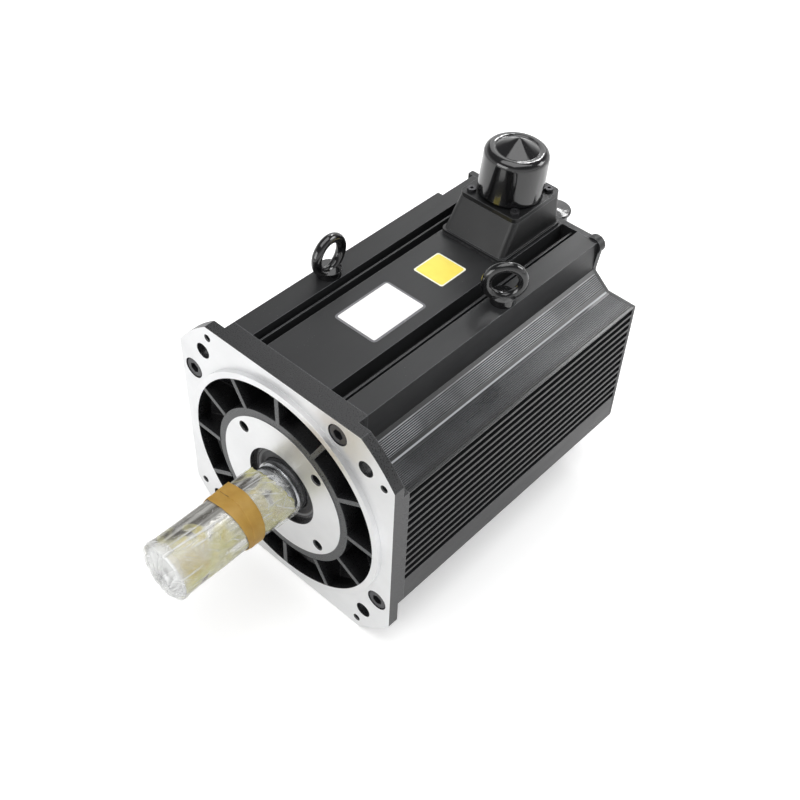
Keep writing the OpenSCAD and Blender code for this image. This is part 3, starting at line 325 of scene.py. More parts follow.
def paint_tone(s, colour, edge, edge_wear_and_highlight, dust):
    """Colour of sprayed paint with clouds, edges lightened by wear and by painted highlight, and
    dust.
    """
    clouds = s.ramp(s.noise(14.0, 4.0), 0.3, 0.7, 0.85, 1.15)
    tone = s.mix(1.0, (*colour,), clouds, "MULTIPLY")
    # Edges made lighter: partly wear, partly a painted highlight where the edges catch the light
    tone = s.mix(s.times(s.edge(edge), edge_wear_and_highlight), tone, EDGE_WEAR_AND_HIGHLIGHT)
    return s.mix(s.times(specks(s, 420.0, 0.10), dust), tone, PALE_DUST)


def satin_skin(s, tone, roughness, soft):
    """Satin gloss with lengthwise streaks, orange peel and softened edges."""
    streaks = s.noise(60.0, 5.0, 0.6, stretch=(1.0, 0.12, 1.0))
    s.set(Base_Color=tone, Metallic=0.0, Specular_IOR_Level=0.55,
          Roughness=s.ramp(streaks, 0.3, 0.7, roughness - 0.05, roughness + 0.07),
          Normal=s.bump(s.noise(1500.0, 2.0), 0.025 * MM, 0.5, s.soft_edge(soft)))


def fluted_paint(name, colour, roughness):
    """Satin paint of the side coolers, with painted highlights on the lands between the flutes, in
    lines on the flat and along the ridge.
    """
    s = Shader(name)
    length = math.hypot(*SLOPE)
    x, z = s.size_of(s.axis(0)), s.size_of(s.axis(2))
    along = s.plus(s.times(s.minus(x, WALL_X), SLOPE[0] / length),
                   s.times(s.minus(VALLEY_Z, z), SLOPE[1] / length))
    nx, nz = s.size_of(s.normal(0)), s.size_of(s.normal(2))
    faces_slope = s.plus(s.times(nx, SLOPE[1] / length), s.times(nz, SLOPE[0] / length))
    on_slope = s.times(s.ramp(x, RIDGE_X - 0.1 * MM, RIDGE_X - 0.4 * MM),
                       s.within(along, 3.5 * MM, 17.3 * MM, 0.3 * MM))
    lands = s.times(s.ramp(faces_slope, 0.985, 0.997), on_slope)
    on_flat = s.within(x, RIDGE_X + 3.0 * MM, SIDE_X - 7.0 * MM, 2.0 * MM)
    fine = s.times(s.ramp(nz, 0.985, 0.997), on_flat)
    lit = s.ramp(s.noise(16.0, 3.0, stretch=(1.0, 1.0, 0.2)), 0.40, 0.62, 0.25, 1.0)
    ridge = s.ramp(s.size_of(s.minus(x, RIDGE_X)), 0.85 * MM, 0.45 * MM)
    above = s.ramp(z, RIDGE_Z - 1.2 * MM, RIDGE_Z - 0.6 * MM)
    ridge = s.times(ridge, above)
    tone = paint_tone(s, colour, 0.45 * MM, 0.10, 0.3)
    # Painted highlights: lighter lands, lines on the flat and a light ridge, in place of the light
    # that the flutes and the ridge catch
    tone = s.mix(s.times(s.times(lands, lit), 0.85), tone, LAND_HIGHLIGHT)
    tone = s.mix(s.times(s.times(fine, lit), 0.30), tone, FLAT_HIGHLIGHT)
    tone = s.mix(s.times(ridge, 0.9), tone, RIDGE_HIGHLIGHT)
    satin_skin(s, tone, roughness - 0.08, 0.08 * MM)
    return s.material


def gloss_black(name, colour, roughness, ripple, waves):
    """Dipped or moulded gloss black with slow ripples that bend the reflections."""
    s = Shader(name)
    tone = s.mix(s.times(specks(s, 600.0, 0.09), 0.25), (*colour,), (0.30, 0.30, 0.29))
    fine = s.noise(700.0, 2.0)
    slow = s.noise(waves, 2.0, stretch=(1.0, 1.0, 0.35), distortion=0.5)
    s.set(Base_Color=tone, Specular_IOR_Level=0.7, Coat_Weight=0.6, Coat_Roughness=0.04,
          Roughness=s.ramp(fine, 0.3, 0.7, roughness - 0.03, roughness + 0.05),
          Normal=s.bump(slow, ripple * MM, 0.7, s.soft_edge(0.6 * MM)))
    return s.material


def turned_metal(name, colour, roughness, metallic=1.0):
    """Bright metal with fine turning lines across the motor axis and light stains."""
    s = Shader(name)
    pitch = 0.35 * MM
    turns = s.math("SINE", s.times(s.axis(1), 2 * math.pi / pitch))
    stain = s.ramp(s.noise(30.0, 4.0), 0.4, 0.7, 0.92, 1.04)
    s.set(Base_Color=s.mix(1.0, (*colour,), stain, "MULTIPLY"), Metallic=metallic,
          Roughness=s.ramp(s.noise(500.0, 2.0, stretch=(0.1, 1.0, 0.1)), 0.3, 0.7,
                           roughness - 0.05, roughness + 0.06),
          Normal=s.bump(turns, 0.002 * MM, 0.4, s.soft_edge(0.3 * MM)))
    return s.material


def bracket_metal(paint, bare):
    """Casting: bright machined front faces and spigot with a painted reflection streak, painted
    shade in the pockets, satin paint elsewhere.
    """
    s = Shader("bracket_casting")
    y = s.axis(1)
    r = s.radius()

    def zone(inner, outer, blur, start, end):
        """1 between two radii, and beyond a depth along the axis."""
        return s.times(s.within(r, inner, outer, blur * MM), s.ramp(y, start * MM, end * MM))

    facing = s.ramp(s.normal(1), -0.90, -0.97)
    front = s.ramp(y, 0.6 * MM, 0.3 * MM)
    hub = s.ramp(r, HUB_R + 0.2 * MM, HUB_R - 0.2 * MM)
    rim = s.ramp(r, POCKET_R - 0.2 * MM, POCKET_R + 0.1 * MM)
    flat = s.times(s.times(facing, front), s.plus(hub, rim, clamp=True))
    wall = zone(SPIGOT_R - 0.8 * MM, SPIGOT_R + 2.0 * MM, 0.5, 0.2, -0.1)
    worked = s.math("MAXIMUM", flat, wall)
    lip = zone(RECESS_R - 0.6 * MM, RECESS_R + 1.1 * MM, 0.2, -2.6, -3.0)
    step = zone(SEAL_R, SEAL_R + 1.2 * MM, 0.2, 0.4, 0.8)
    ring = zone(HUB_R + 0.1 * MM, RING_R + 0.1 * MM, 0.2, -2.2, -2.8)
    between = s.within(r, RING_R - 0.2 * MM, POCKET_R - 0.4 * MM, 0.3 * MM)
    ribs = s.times(s.times(facing, front), between)
    # Painted shade: near-black in the deep pocket between the hub ring and the spigot, and in the
    # hole round the seal
    cave_shade = zone(RING_R - 0.5 * MM, POCKET_R + 0.6 * MM, 0.5, -3.0, 3.0)
    bore_shade = s.ramp(r, RECESS_R + 0.3 * MM, RECESS_R - 0.2 * MM)
    cast = paint_tone(s, paint, 0.8 * MM, 0.30, 0.3)
    cast = s.mix(s.math("MAXIMUM", ribs, s.times(ring, 0.8)), cast, CAST_RIB)
    cast = s.mix(s.math("MAXIMUM", s.times(cave_shade, 0.9), bore_shade), cast, POCKET_PAINTED_SHADE)
    cast = s.mix(s.times(s.math("MAXIMUM", lip, step), 0.7), cast, TURNED_LIP)
    stain = s.ramp(s.noise(22.0, 4.0), 0.35, 0.7, 0.94, 1.03)
    # Painted reflection: darker streaks at fixed turns round the axis, on both sides, in place of
    # the reflection of turned metal
    turn = s.math("ARCTAN2", s.axis(2), s.axis(0))
    streak_wave = s.math("COSINE", s.minus(turn, math.radians(62.0)))
    reflection_fan = s.math("POWER", s.size_of(streak_wave), 14.0)
    reflection_fan = s.times(reflection_fan, s.ramp(r, 66.0 * MM, 60.0 * MM, 0.45, 1.0))
    bright = s.mix(1.0, (*bare,), stain, "MULTIPLY")
    bright = s.mix(s.times(reflection_fan, 0.55), bright, REFLECTION_STREAK_TINT)
    rings = s.math("SINE", s.times(r, 2 * math.pi / (0.45 * MM)))
    milled = s.noise(700.0, 2.0, stretch=(0.25, 1.0, 1.0))
    sand = s.noise(900.0, 3.0)
    rough = s.mix(worked, s.ramp(sand, 0.3, 0.7, 0.24, 0.38),
                  s.ramp(milled, 0.3, 0.7, 0.30, 0.42))
    height = s.mix(worked, s.times(sand, 6.0), s.plus(rings, milled))
    s.set(Base_Color=s.mix(worked, cast, bright), Roughness=rough, Specular_IOR_Level=0.8,
          Metallic=s.times(worked, 0.85),
          Normal=s.bump(height, 0.007 * MM, 0.6, s.soft_edge(0.5 * MM)))
    return s.material


def lipped_rubber(name, colour):
    """Shaft seal: black rubber with the grey rim of its metal case."""
    s = Shader(name)
    case = s.within(s.radius(), 28.6 * MM, 30.2 * MM, 0.2 * MM)
    s.set(Base_Color=s.mix(case, (*colour,), (0.15, 0.15, 0.154)), Metallic=s.times(case, 0.6),
          Roughness=s.ramp(s.noise(900.0, 2.0), 0.3, 0.7, 0.34, 0.46),
          Normal=s.bump(s.noise(300.0, 2.0), 0.003 * MM, 0.4, s.soft_edge(0.3 * MM)))
    return s.material


def dull_rubber(name, colour):
    """Moulded rubber or plastic with a fine matt skin."""
    s = Shader(name)
    dusty = s.ramp(s.noise(300.0, 3.0), 0.4, 0.7)
    s.set(Base_Color=s.mix(dusty, (*colour,), (0.05, 0.05, 0.052)),
          Roughness=s.ramp(s.noise(900.0, 2.0), 0.3, 0.7, 0.42, 0.62),
          Normal=s.bump(s.noise(1200.0, 2.0), 0.02 * MM, 0.6, s.soft_edge(0.3 * MM)))
    return s.material


def wound_copper(name):
    """Enamelled wire in many fine turns."""
    s = Shader(name)
    wires = s.noise(700.0, 2.0, stretch=(1.0, 0.05, 1.0))
    s.set(Base_Color=s.mix(wires, (0.42, 0.16, 0.06), (0.75, 0.36, 0.15)), Metallic=0.7,
          Roughness=0.35, Normal=s.bump(wires, 0.2 * MM, 0.8))
    return s.material


def stacked_sheet(name):
    """Pressed electrical sheet, seen as fine lines across the axis."""
    s = Shader(name)
    sheet = s.math("SINE", s.times(s.axis(1), 2 * math.pi / (0.5 * MM)))
    s.set(Base_Color=s.mix(s.ramp(sheet, -1.0, 1.0), (0.18, 0.18, 0.19), (0.34, 0.34, 0.35)),
          Metallic=0.9, Roughness=0.45, Normal=s.bump(sheet, 0.05 * MM, 0.5))
    return s.material


def wrapped_shaft(colour):
    """What lies under the film: waxed paper in patches, bare steel between with painted reflection
    streaks, painted highlights along slanted folds, all under gloss.
    """
    s = Shader("waxed_paper")
    y = s.axis(1)
    side = s.minus(s.times(s.axis(0), 0.8), s.times(s.axis(2), 0.6))
    patch = s.noise(30.0, 3.0, 0.55, distortion=0.6)
    lower = s.ramp(side, -8.0 * MM, 10.0 * MM, -0.07, 0.07)
    near = s.ramp(y, WRAP_FOOT - 20.0 * MM, WRAP_FOOT - 9.0 * MM, 0.0, 0.20)
    far = s.ramp(y, BAND_TIP - 10.0 * MM, WRAP_TIP, 0.0, 0.08)
    lean = s.plus(s.plus(patch, lower), s.plus(near, far))
    paper = s.ramp(lean, 0.47, 0.58)
    streak = s.wrinkles(0.0, 210.0, 9.0)
    # Steel drawn in dark and bright lengthwise streaks: painted reflections of the polished shaft
    steel = s.mix(s.ramp(streak, 0.40, 0.60), (0.16, 0.148, 0.125), (0.70, 0.69, 0.65))
    fibre = s.noise(240.0, 4.0, 0.6, stretch=(1.0, 0.4, 1.0))
    wax = s.mix(s.ramp(fibre, 0.38, 0.66), (*colour,), (0.68, 0.65, 0.36))
    wax = s.mix(s.ramp(patch, 0.54, 0.66, 0.0, 0.65), wax, (0.50, 0.38, 0.11))
    slant = s.wrinkles(34.0, 330.0, 45.0, 3.0)
    tone = s.mix(paper, steel, wax)
    # Whitish slanted streaks: painted highlights along the folds
    tone = s.mix(s.ramp(slant, 0.58, 0.68, 0.0, 0.30), tone, (0.84, 0.84, 0.78))
    height = s.plus(s.plus(streak, slant), s.wrinkles(-52.0, 190.0, 36.0, 6.0))
    s.set(Base_Color=tone, Roughness=s.ramp(paper, 0.0, 1.0, 0.18, 0.5), Specular_IOR_Level=0.6,
          Metallic=s.times(s.minus(1.0, paper), 0.55),
          Coat_Weight=1.0, Coat_Roughness=0.03,
          Coat_Normal=s.bump(height, 0.9 * MM, 0.8), Normal=s.bump(height, 0.5 * MM, 0.6))
    return s.material


def clear_film(milk):
    """Thin stretch film: see-through, with glossy creases, milky folds, and fold lines whose
    whiteness is partly milky crease and partly painted highlight.
    """
    s = Shader("clear_film")
    loose = s.ramp(s.axis(1), BAND_TIP, BAND_FOOT, 0.0, 0.025)
    long_folds = s.wrinkles(4.0, 260.0, 16.0, 1.0)
    slant = s.wrinkles(38.0, 420.0, 48.0, 5.0, 3.0)
    cross = s.wrinkles(-46.0, 460.0, 60.0, 9.0, 3.0)
    cloud = s.ramp(s.plus(s.noise(30.0, 3.0, 0.55), loose), 0.50, 0.70, 0.02, 0.26)
    # Fold lines made more opaque white: partly milky creases, partly painted highlights
    lines = s.plus(s.ramp(long_folds, 0.60, 0.68, 0.0, 0.34),
                   s.plus(s.ramp(s.plus(slant, loose), 0.63, 0.71, 0.0, 0.38),
                          s.ramp(s.plus(cross, loose), 0.66, 0.74, 0.0, 0.34)))
    tip = s.ramp(s.axis(1), WRAP_TIP + 9 * MM, WRAP_TIP + 1 * MM, 0.0, 0.24)
    grazing = s.node("ShaderNodeLayerWeight", {"Blend": 0.30}).outputs["Facing"]
    rim = s.ramp(grazing, 0.60, 1.0, 0.0, 0.28)
    alpha = s.plus(s.plus(cloud, lines), s.plus(tip, rim), clamp=True)
    height = s.plus(long_folds, s.times(s.plus(slant, cross), 0.6))
    s.set(Base_Color=(*milk,), Roughness=0.05, IOR=1.5, Specular_IOR_Level=1.0, Alpha=alpha,
          Normal=s.bump(height, 1.1 * MM, 0.8))
    return s.material


def amber_band(colour):
    """Natural rubber band: waxy, a little translucent, with lengthwise grain."""
    s = Shader("amber_rubber")
    grain = s.noise(160.0, 4.0, 0.6, stretch=(0.3, 2.0, 0.3))
    cloud = s.noise(60.0, 4.0)
    dark = tuple(c * f for c, f in zip(colour, (0.80, 0.74, 0.62)))
    tone = s.mix(s.ramp(cloud, 0.35, 0.65), dark, (*colour,))
    tone = s.mix(s.times(s.edge(0.5 * MM), 0.25), tone, (0.72, 0.52, 0.24))
    s.set(Base_Color=tone, Roughness=s.ramp(grain, 0.3, 0.7, 0.38, 0.55), Specular_IOR_Level=0.35,
          Subsurface_Weight=0.15, Subsurface_Radius=(0.004, 0.002, 0.001),
          Normal=s.bump(grain, 0.15 * MM, 0.6))
    return s.material


def sticker_film(name, colour, roughness):
    """Printed-film face: even colour with faint waves and rubbed spots."""
    s = Shader(name)
    rub = s.ramp(s.noise(120.0, 4.0), 0.45, 0.8, 1.0, 0.93)
    s.set(Base_Color=s.mix(1.0, (*colour,), rub, "MULTIPLY"),
          Roughness=s.ramp(s.noise(60.0, 3.0), 0.3, 0.7, roughness - 0.05, roughness + 0.08),
          Normal=s.bump(s.noise(80.0, 2.0), 0.05 * MM, 0.4))
    return s.material


# ---------------- mesh tools
def dress(names, material):
    """Gives CAD nodes a finish."""
    for name in names:
        mesh = NODES[name].data
        mesh.materials.clear()
        mesh.materials.append(material)


def new_piece(name, mesh_bm, material, body, smooth=True):
    """A finished piece in the shared frame that rides on a CAD body."""
    mesh = bpy.data.meshes.new(name)
    bmesh.ops.recalc_face_normals(mesh_bm, faces=mesh_bm.faces)
    mesh_bm.to_mesh(mesh)
    mesh_bm.free()
    for face in mesh.polygons:
        face.use_smooth = smooth
    mesh.materials.append(material)
    piece = bpy.data.objects.new(name, mesh)
    bpy.context.scene.collection.objects.link(piece)
    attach(piece, body)
    return piece


def loft(rings, closed_round=True):
    """Quads between rings of equally many points."""
    bm = bmesh.new()
    grid = [[bm.verts.new(p) for p in ring] for ring in rings]
    count = len(rings[0])
    for a, b in zip(grid, grid[1:]):
        for i in range(count if closed_round else count - 1):
            j = (i + 1) % count
            bm.faces.new((a[i], a[j], b[j], b[i]))
    return bm, grid


def close_round(bm, last, first):
    """Faces that join the last ring to the first."""
    for i in range(len(first)):
        j = (i + 1) % len(first)
        bm.faces.new((last[i], last[j], first[j], first[i]))


def tent_radius(angle, room):
    """Radius of a skin drawn tight over shaft and key, in one direction."""
    r = SHAFT_R + room[0]
    kt = KEY_TOP + room[1]
    kw = KEY_HALF + room[1]
    off = abs((angle - KEY_ANGLE + math.pi) % (2 * math.pi) - math.pi)
    corner = math.atan2(kw, kt)
    touch = corner + math.acos(min(1.0, r / math.hypot(kt, kw)))
    if off <= corner:
        return kt / math.cos(off)
    if off >= touch:
        return r
    x0, y0, x1, y1 = kt, kw, r * math.cos(touch), r * math.sin(touch)
    dx, dy = x1 - x0, y1 - y0
    return (x0 * dy - y0 * dx) / (math.cos(off) * dy - math.sin(off) * dx)


def rounded_plate(width, depth, corner):
    """Points of a rectangle with round corners, about the origin."""
    steps = 6
    points = []
    for turn, (sx, sy) in enumerate(((1, 1), (-1, 1), (-1, -1), (1, -1))):
        for k in range(steps + 1):
            a = math.radians(90 * turn + 90 * k / steps)
            points.append((sx * (width / 2 - corner) + corner * math.cos(a),
                           sy * (depth / 2 - corner) + corner * math.sin(a)))
    return points


def plate_mesh(points, z0, z1, bevel):
    """A thin plate with a softened upper edge."""
    centre = Vector((sum(p[0] for p in points), sum(p[1] for p in points))) / len(points)

    def ring(z, inset):
        made = []
        for p in points:
            v = Vector(p) - centre
            made.append((*(centre + v * (1 - inset / v.length)), z))
        return made

    bm, grid = loft([ring(z0, 0), ring(z1 - bevel, 0), ring(z1, bevel)])
    bm.faces.new(grid[-1])
    bm.faces.new(reversed(grid[0]))
    return bm


def flat_layer(name, size, corner, place, height, bevel, material):
    """One layer of a plate or a sticker, between two heights over the top of the housing."""
    points = [(x + place[0], y + place[1]) for x, y in rounded_plate(*size, corner)]
    layer = plate_mesh(points, TOP_Z + height[0], TOP_Z + height[1], bevel)
    new_piece(name, layer, material, "stator", smooth=False)


def thicken(skin, thickness, offset=-1.0):
    """Gives an open skin its thickness: inwards at -1, outwards at 1."""
    solid = skin.modifiers.new("thickness", "SOLIDIFY")
    solid.thickness = thickness
    solid.offset = offset


def on_ring(radius, angle, y):
    """A point round the motor axis."""
    return (radius * math.cos(angle), y, radius * math.sin(angle))


# ---------------- settings
COLOUR = {"subtype": "COLOR", "min": 0.0, "max": 1.0}
LENGTH = {"unit": "LENGTH", "subtype": "DISTANCE"}
FLAT_CUT = {"unit": "LENGTH", "size": 2, "min": 0.05}
POWER = {"unit": "POWER", "min": 0.0}
ANGLE = {"subtype": "ANGLE"}


def prop(name, description, default, **kind):
    """A colour or a pair where the default is one, and a number otherwise."""
    make = FloatVectorProperty if isinstance(default, tuple) else FloatProperty
    return make(name=name, description=description, default=default, **kind)


class FinishSettings(PropertyGroup):
    """Colours and gloss of the rigid pieces."""

    paint: prop("Paint", "Satin paint of the housing", (0.016, 0.0165, 0.0175), **COLOUR)
    paint_roughness: prop("Paint roughness", "Roughness of the paint", 0.42,
                          min=0.1, max=0.9, subtype="FACTOR")
    bare: prop("Machined face", "Bare metal of flange and hub", (0.90, 0.905, 0.91), **COLOUR)
    gloss: prop("Gloss black", "Caps and lifting eyes", (0.006, 0.006, 0.0065), **COLOUR)
    gloss_roughness: prop("Gloss roughness", "Roughness of the gloss black", 0.10,
                          min=0.02, max=0.6, subtype="FACTOR")


class WrapSettings(PropertyGroup):
    """Film, paper and rubber band round the shaft end."""

    film_milk: prop("Film", "Tint of the film", (0.95, 0.955, 0.94), **COLOUR)
    paper: prop("Paper", "Tint of the waxed paper", (0.52, 0.50, 0.21), **COLOUR)
    band: prop("Band", "Colour of the rubber band", (0.52, 0.315, 0.07), **COLOUR)
    crease: prop("Crease", "Height of the creases in the film", 0.55 * MM, **LENGTH)
    gather: IntProperty(name="Gathers", description="Folds at the closed tip",
                        default=17, min=7, max=40)
    film_flat: prop("Film cut", "Width and length of the flat film", (0.145, 0.120), **FLAT_CUT)
    paper_flat: prop("Paper cut", "Width and length of the flat paper", (0.140, 0.106), **FLAT_CUT)


class PlateSettings(PropertyGroup):
    """Blank nameplate and blank sticker."""

    plate_width: prop("Plate width", "Width across the motor", 37.5 * MM, **LENGTH)
    plate_length: prop("Plate length", "Length along the motor", 53.5 * MM, **LENGTH)
    plate_colour: prop("Plate colour", "Face of the nameplate", (0.86, 0.86, 0.85), **COLOUR)
    sticker_side: prop("Sticker side", "Side of the blank sticker", 27.0 * MM, **LENGTH)
    sticker_colour: prop("Sticker colour", "Face of the sticker", (0.90, 0.74, 0.10), **COLOUR)


class StudioSettings(PropertyGroup):
    """Floor, lamps and camera."""

    floor: prop("Floor", "Colour of the floor", (0.93, 0.93, 0.93), **COLOUR)
    key_power: prop("Key lamp", "Power of the overhead softbox in watts", 11.0, **POWER)
    fill_power: prop("Fill lamp", "Power of the front softbox in watts", 7.0, **POWER)
    sky: prop("Sky", "Strength of the even light", 0.55, min=0.0)
    ceiling: prop("Ceiling", "Colour of the room above", (0.16, 0.16, 0.165), **COLOUR)
    back_power: prop("Back lamp", "Power of each lamp behind the motor in watts", 4.5, **POWER)
    lens: prop("Lens", "Focal length of the camera in millimetres", 52.59,
               min=10.0, unit="CAMERA")
    camera_at: prop("Camera", "Place of the camera", (0.43453, -0.37934, 0.68009),
                    subtype="TRANSLATION")
    heading: prop("Heading", "Turn of the view from +Y towards -X", math.radians(40.509), **ANGLE)
    tilt: prop("Tilt", "Turn of the view below the horizon", math.radians(45.65), **ANGLE)
    roll: prop("Roll", "Turn of the picture about the view", math.radians(2.745), **ANGLE)


class MotorSettings(PropertyGroup):
    """All settings of the motor scene."""

    finish: PointerProperty(name="Finish", description="Rigid pieces", type=FinishSettings)
    wrap: PointerProperty(name="Wrap", description="Soft pieces", type=WrapSettings)
    plates: PointerProperty(name="Plates", description="Blank plates", type=PlateSettings)
    studio: PointerProperty(name="Studio", description="Stage and camera", type=StudioSettings)


def settings():
    """The motor's settings in this scene."""
    return bpy.context.scene.servo_motor


# ---------------- operators
class SERVO_OT_castings(Operator):
    """Front bracket with bright machined faces and a painted reflection streak, painted casting,
    and painted shade in the pockets
    """

    bl_idname = "servo.castings"
    bl_label = "Front bracket"

    def execute(self, context):
        look = settings().finish
        dress(["front_bracket"], bracket_metal(look.paint[:], look.bare[:]))
        return {"FINISHED"}


class SERVO_OT_housing(Operator):
    """Housing, side coolers, rear bracket, encoder cover and power box in satin paint"""

    bl_idname = "servo.housing"
    bl_label = "Painted housing"

    def execute(self, context):
        look = settings().finish
        dress(["frame", "rear_bracket", "encoder_cover"],
              satin_paint("satin_black", look.paint[:], look.paint_roughness))
        dress(["side_cooler_left", "side_cooler_right"],
              fluted_paint("fluted_black", look.paint[:], look.paint_roughness - 0.04))
        darker = tuple(c * 0.5 for c in look.paint)
        dress(["power_box", "power_receptacle"],
              satin_paint("box_black", darker, 0.36, 0.6 * MM, 0.2))
        return {"FINISHED"}


class SERVO_OT_black_parts(Operator):
    """Lifting eyes and protective caps in gloss black"""

    bl_idname = "servo.black_parts"
    bl_label = "Lifting eyes and caps"

    def execute(self, context):
        look = settings().finish
        enamel = gloss_black("black_enamel", look.gloss[:], look.gloss_roughness, 0.25, 90.0)
        vinyl = gloss_black("black_vinyl", look.gloss[:], look.gloss_roughness, 2.2, 38.0)
        dress(["eye_bolt_left", "eye_bolt_right"], enamel)
        dress(["power_cap", "signal_cap"], vinyl)
        return {"FINISHED"}


class SERVO_OT_bare_steel(Operator):
    """Shaft, screws, bearings, pins and the other bare metal"""

    bl_idname = "servo.bare_steel"
    bl_label = "Bare metal"

    def execute(self, context):
        dress(["shaft", "key", "encoder_disc", "encoder_housing", "signal_connector"],
              turned_metal("ground_steel", (0.70, 0.71, 0.72), 0.24))
        dress(["front_bearing_outer", "front_bearing_inner", "front_bearing_balls",
               "rear_bearing_outer", "rear_bearing_inner", "rear_bearing_balls",
               "front_circlip", "rear_circlip", "wave_spring", "bearing_retainer"],
              turned_metal("bearing_steel", (0.55, 0.56, 0.58), 0.2))
        dress(["flange_screws", "receptacle_screws", "retainer_screws", "box_screws"],
              turned_metal("black_oxide", (0.10, 0.10, 0.105), 0.38, metallic=0.9))
        dress(["rear_screws", "cover_screws", "signal_screws"],
              turned_metal("zinc_steel", (0.42, 0.42, 0.43), 0.33))
        dress(["front_bearing_cage", "rear_bearing_cage", "power_pins", "signal_pins_set"],
              turned_metal("brass", (0.75, 0.55, 0.25), 0.28))
        dress(["stator_core", "rotor_core", "magnets"], stacked_sheet("electrical_sheet"))
        dress(["windings"], wound_copper("enamelled_wire"))
        return {"FINISHED"}


class SERVO_OT_rubber_parts(Operator):
    """Shaft seal, gasket, inserts and board"""

    bl_idname = "servo.rubber_parts"
    bl_label = "Seals and inserts"

    def execute(self, context):
        dress(["shaft_seal"], lipped_rubber("seal_rubber", (0.008, 0.008, 0.009)))
        dress(["box_gasket", "power_insert", "signal_insert"],
              dull_rubber("black_rubber", (0.018, 0.018, 0.02)))
        dress(["encoder_board"], dull_rubber("board_green", (0.02, 0.12, 0.05)))
        return {"FINISHED"}


class SERVO_OT_nameplate(Operator):
    """Blank nameplate with a clear margin on the flat of the housing"""

    bl_idname = "servo.nameplate"
    bl_label = "Nameplate"

    def execute(self, context):
        look = settings().plates
        margin = 2.0 * MM
        corner = 1.5 * MM
        size = (look.plate_width, look.plate_length)
        wider = [side + 2 * margin for side in size]
        flat_layer("plate_film", wider, corner + margin, PLATE_PLACE, (0.02 * MM, 0.16 * MM),
                   0.06 * MM, sticker_film("film_margin", (0.16, 0.16, 0.17), 0.22))
        flat_layer("nameplate", size, corner, PLATE_PLACE, (0.10 * MM, 0.42 * MM), 0.06 * MM,
                   sticker_film("plate_face", look.plate_colour[:], 0.35))
        return {"FINISHED"}


class SERVO_OT_sticker(Operator):
    """Blank coloured sticker beside the power box"""

    bl_idname = "servo.sticker"
    bl_label = "Sticker"

    def execute(self, context):
        look = settings().plates
        margin = 2.4 * MM
        edge = sticker_film("sticker_edge", (0.88, 0.87, 0.72), 0.4)
        face = sticker_film("sticker_face", look.sticker_colour[:], 0.4)
        for name, side, height, material in (
                ("sticker_edge", look.sticker_side + margin, (0.02 * MM, 0.12 * MM), edge),
                ("sticker_face", look.sticker_side, (0.08 * MM, 0.20 * MM), face)):
            flat_layer(name, (side, side), 2.0 * MM, STICKER_PLACE, height, 0.03 * MM, material)
        return {"FINISHED"}


# ---------------- wrap of the shaft
def ridged(spot):
    """Noise from -1 to 1 with sharp crests, as in pleated film."""
    return 1.0 - 4.0 * abs(noise.noise(spot))


def relief(angle, y):
    """Height of the folds of the film, from about -0.5 to 1: drawn-out ridges that cross."""
    u, v = angle * SHAFT_R * 1000.0, y * 1000.0
    total = 0.0
    for turn, across, along, share in FOLDS:
        c, n = math.cos(math.radians(turn)), math.sin(math.radians(turn))
        height = ridged(Vector(((u * c + v * n) * across, (v * c - u * n) * along, turn)))
        total += share * height ** 3 if height > 0 else 0.1 * share * height
    return total


def wrap_slack(y):
    """How loosely the film lies at y: free at its foot, none under the band, little beyond."""
    if y >= BAND_FOOT:
        return min(1.0, 0.15 + (y - BAND_FOOT) / (12 * MM))
    if y > BAND_TIP:
        return 0.0
    near_tip = max(0.0, 1 - (y - WRAP_TIP) / (22 * MM))
    return min(1.0, (BAND_TIP - y) / (8 * MM)) * (0.35 + 0.5 * near_tip)


def ragged_foot(angle):
    """Where the film starts along the shaft: close to the hub below, drawn back above."""
    back = 0.5 + 0.5 * math.cos(angle - UPPER_SIDE)
    tear = noise.noise(Vector((math.cos(angle) * 2.6, math.sin(angle) * 2.6, 1.7)))
    return WRAP_FOOT - 9.0 * MM * back ** 1.6 - 2.2 * MM * abs(tear)


def slackness(angle):
    """How much looser the film hangs below the shaft than it lies on top."""
    return 0.62 - 0.38 * math.cos(angle - UPPER_SIDE)


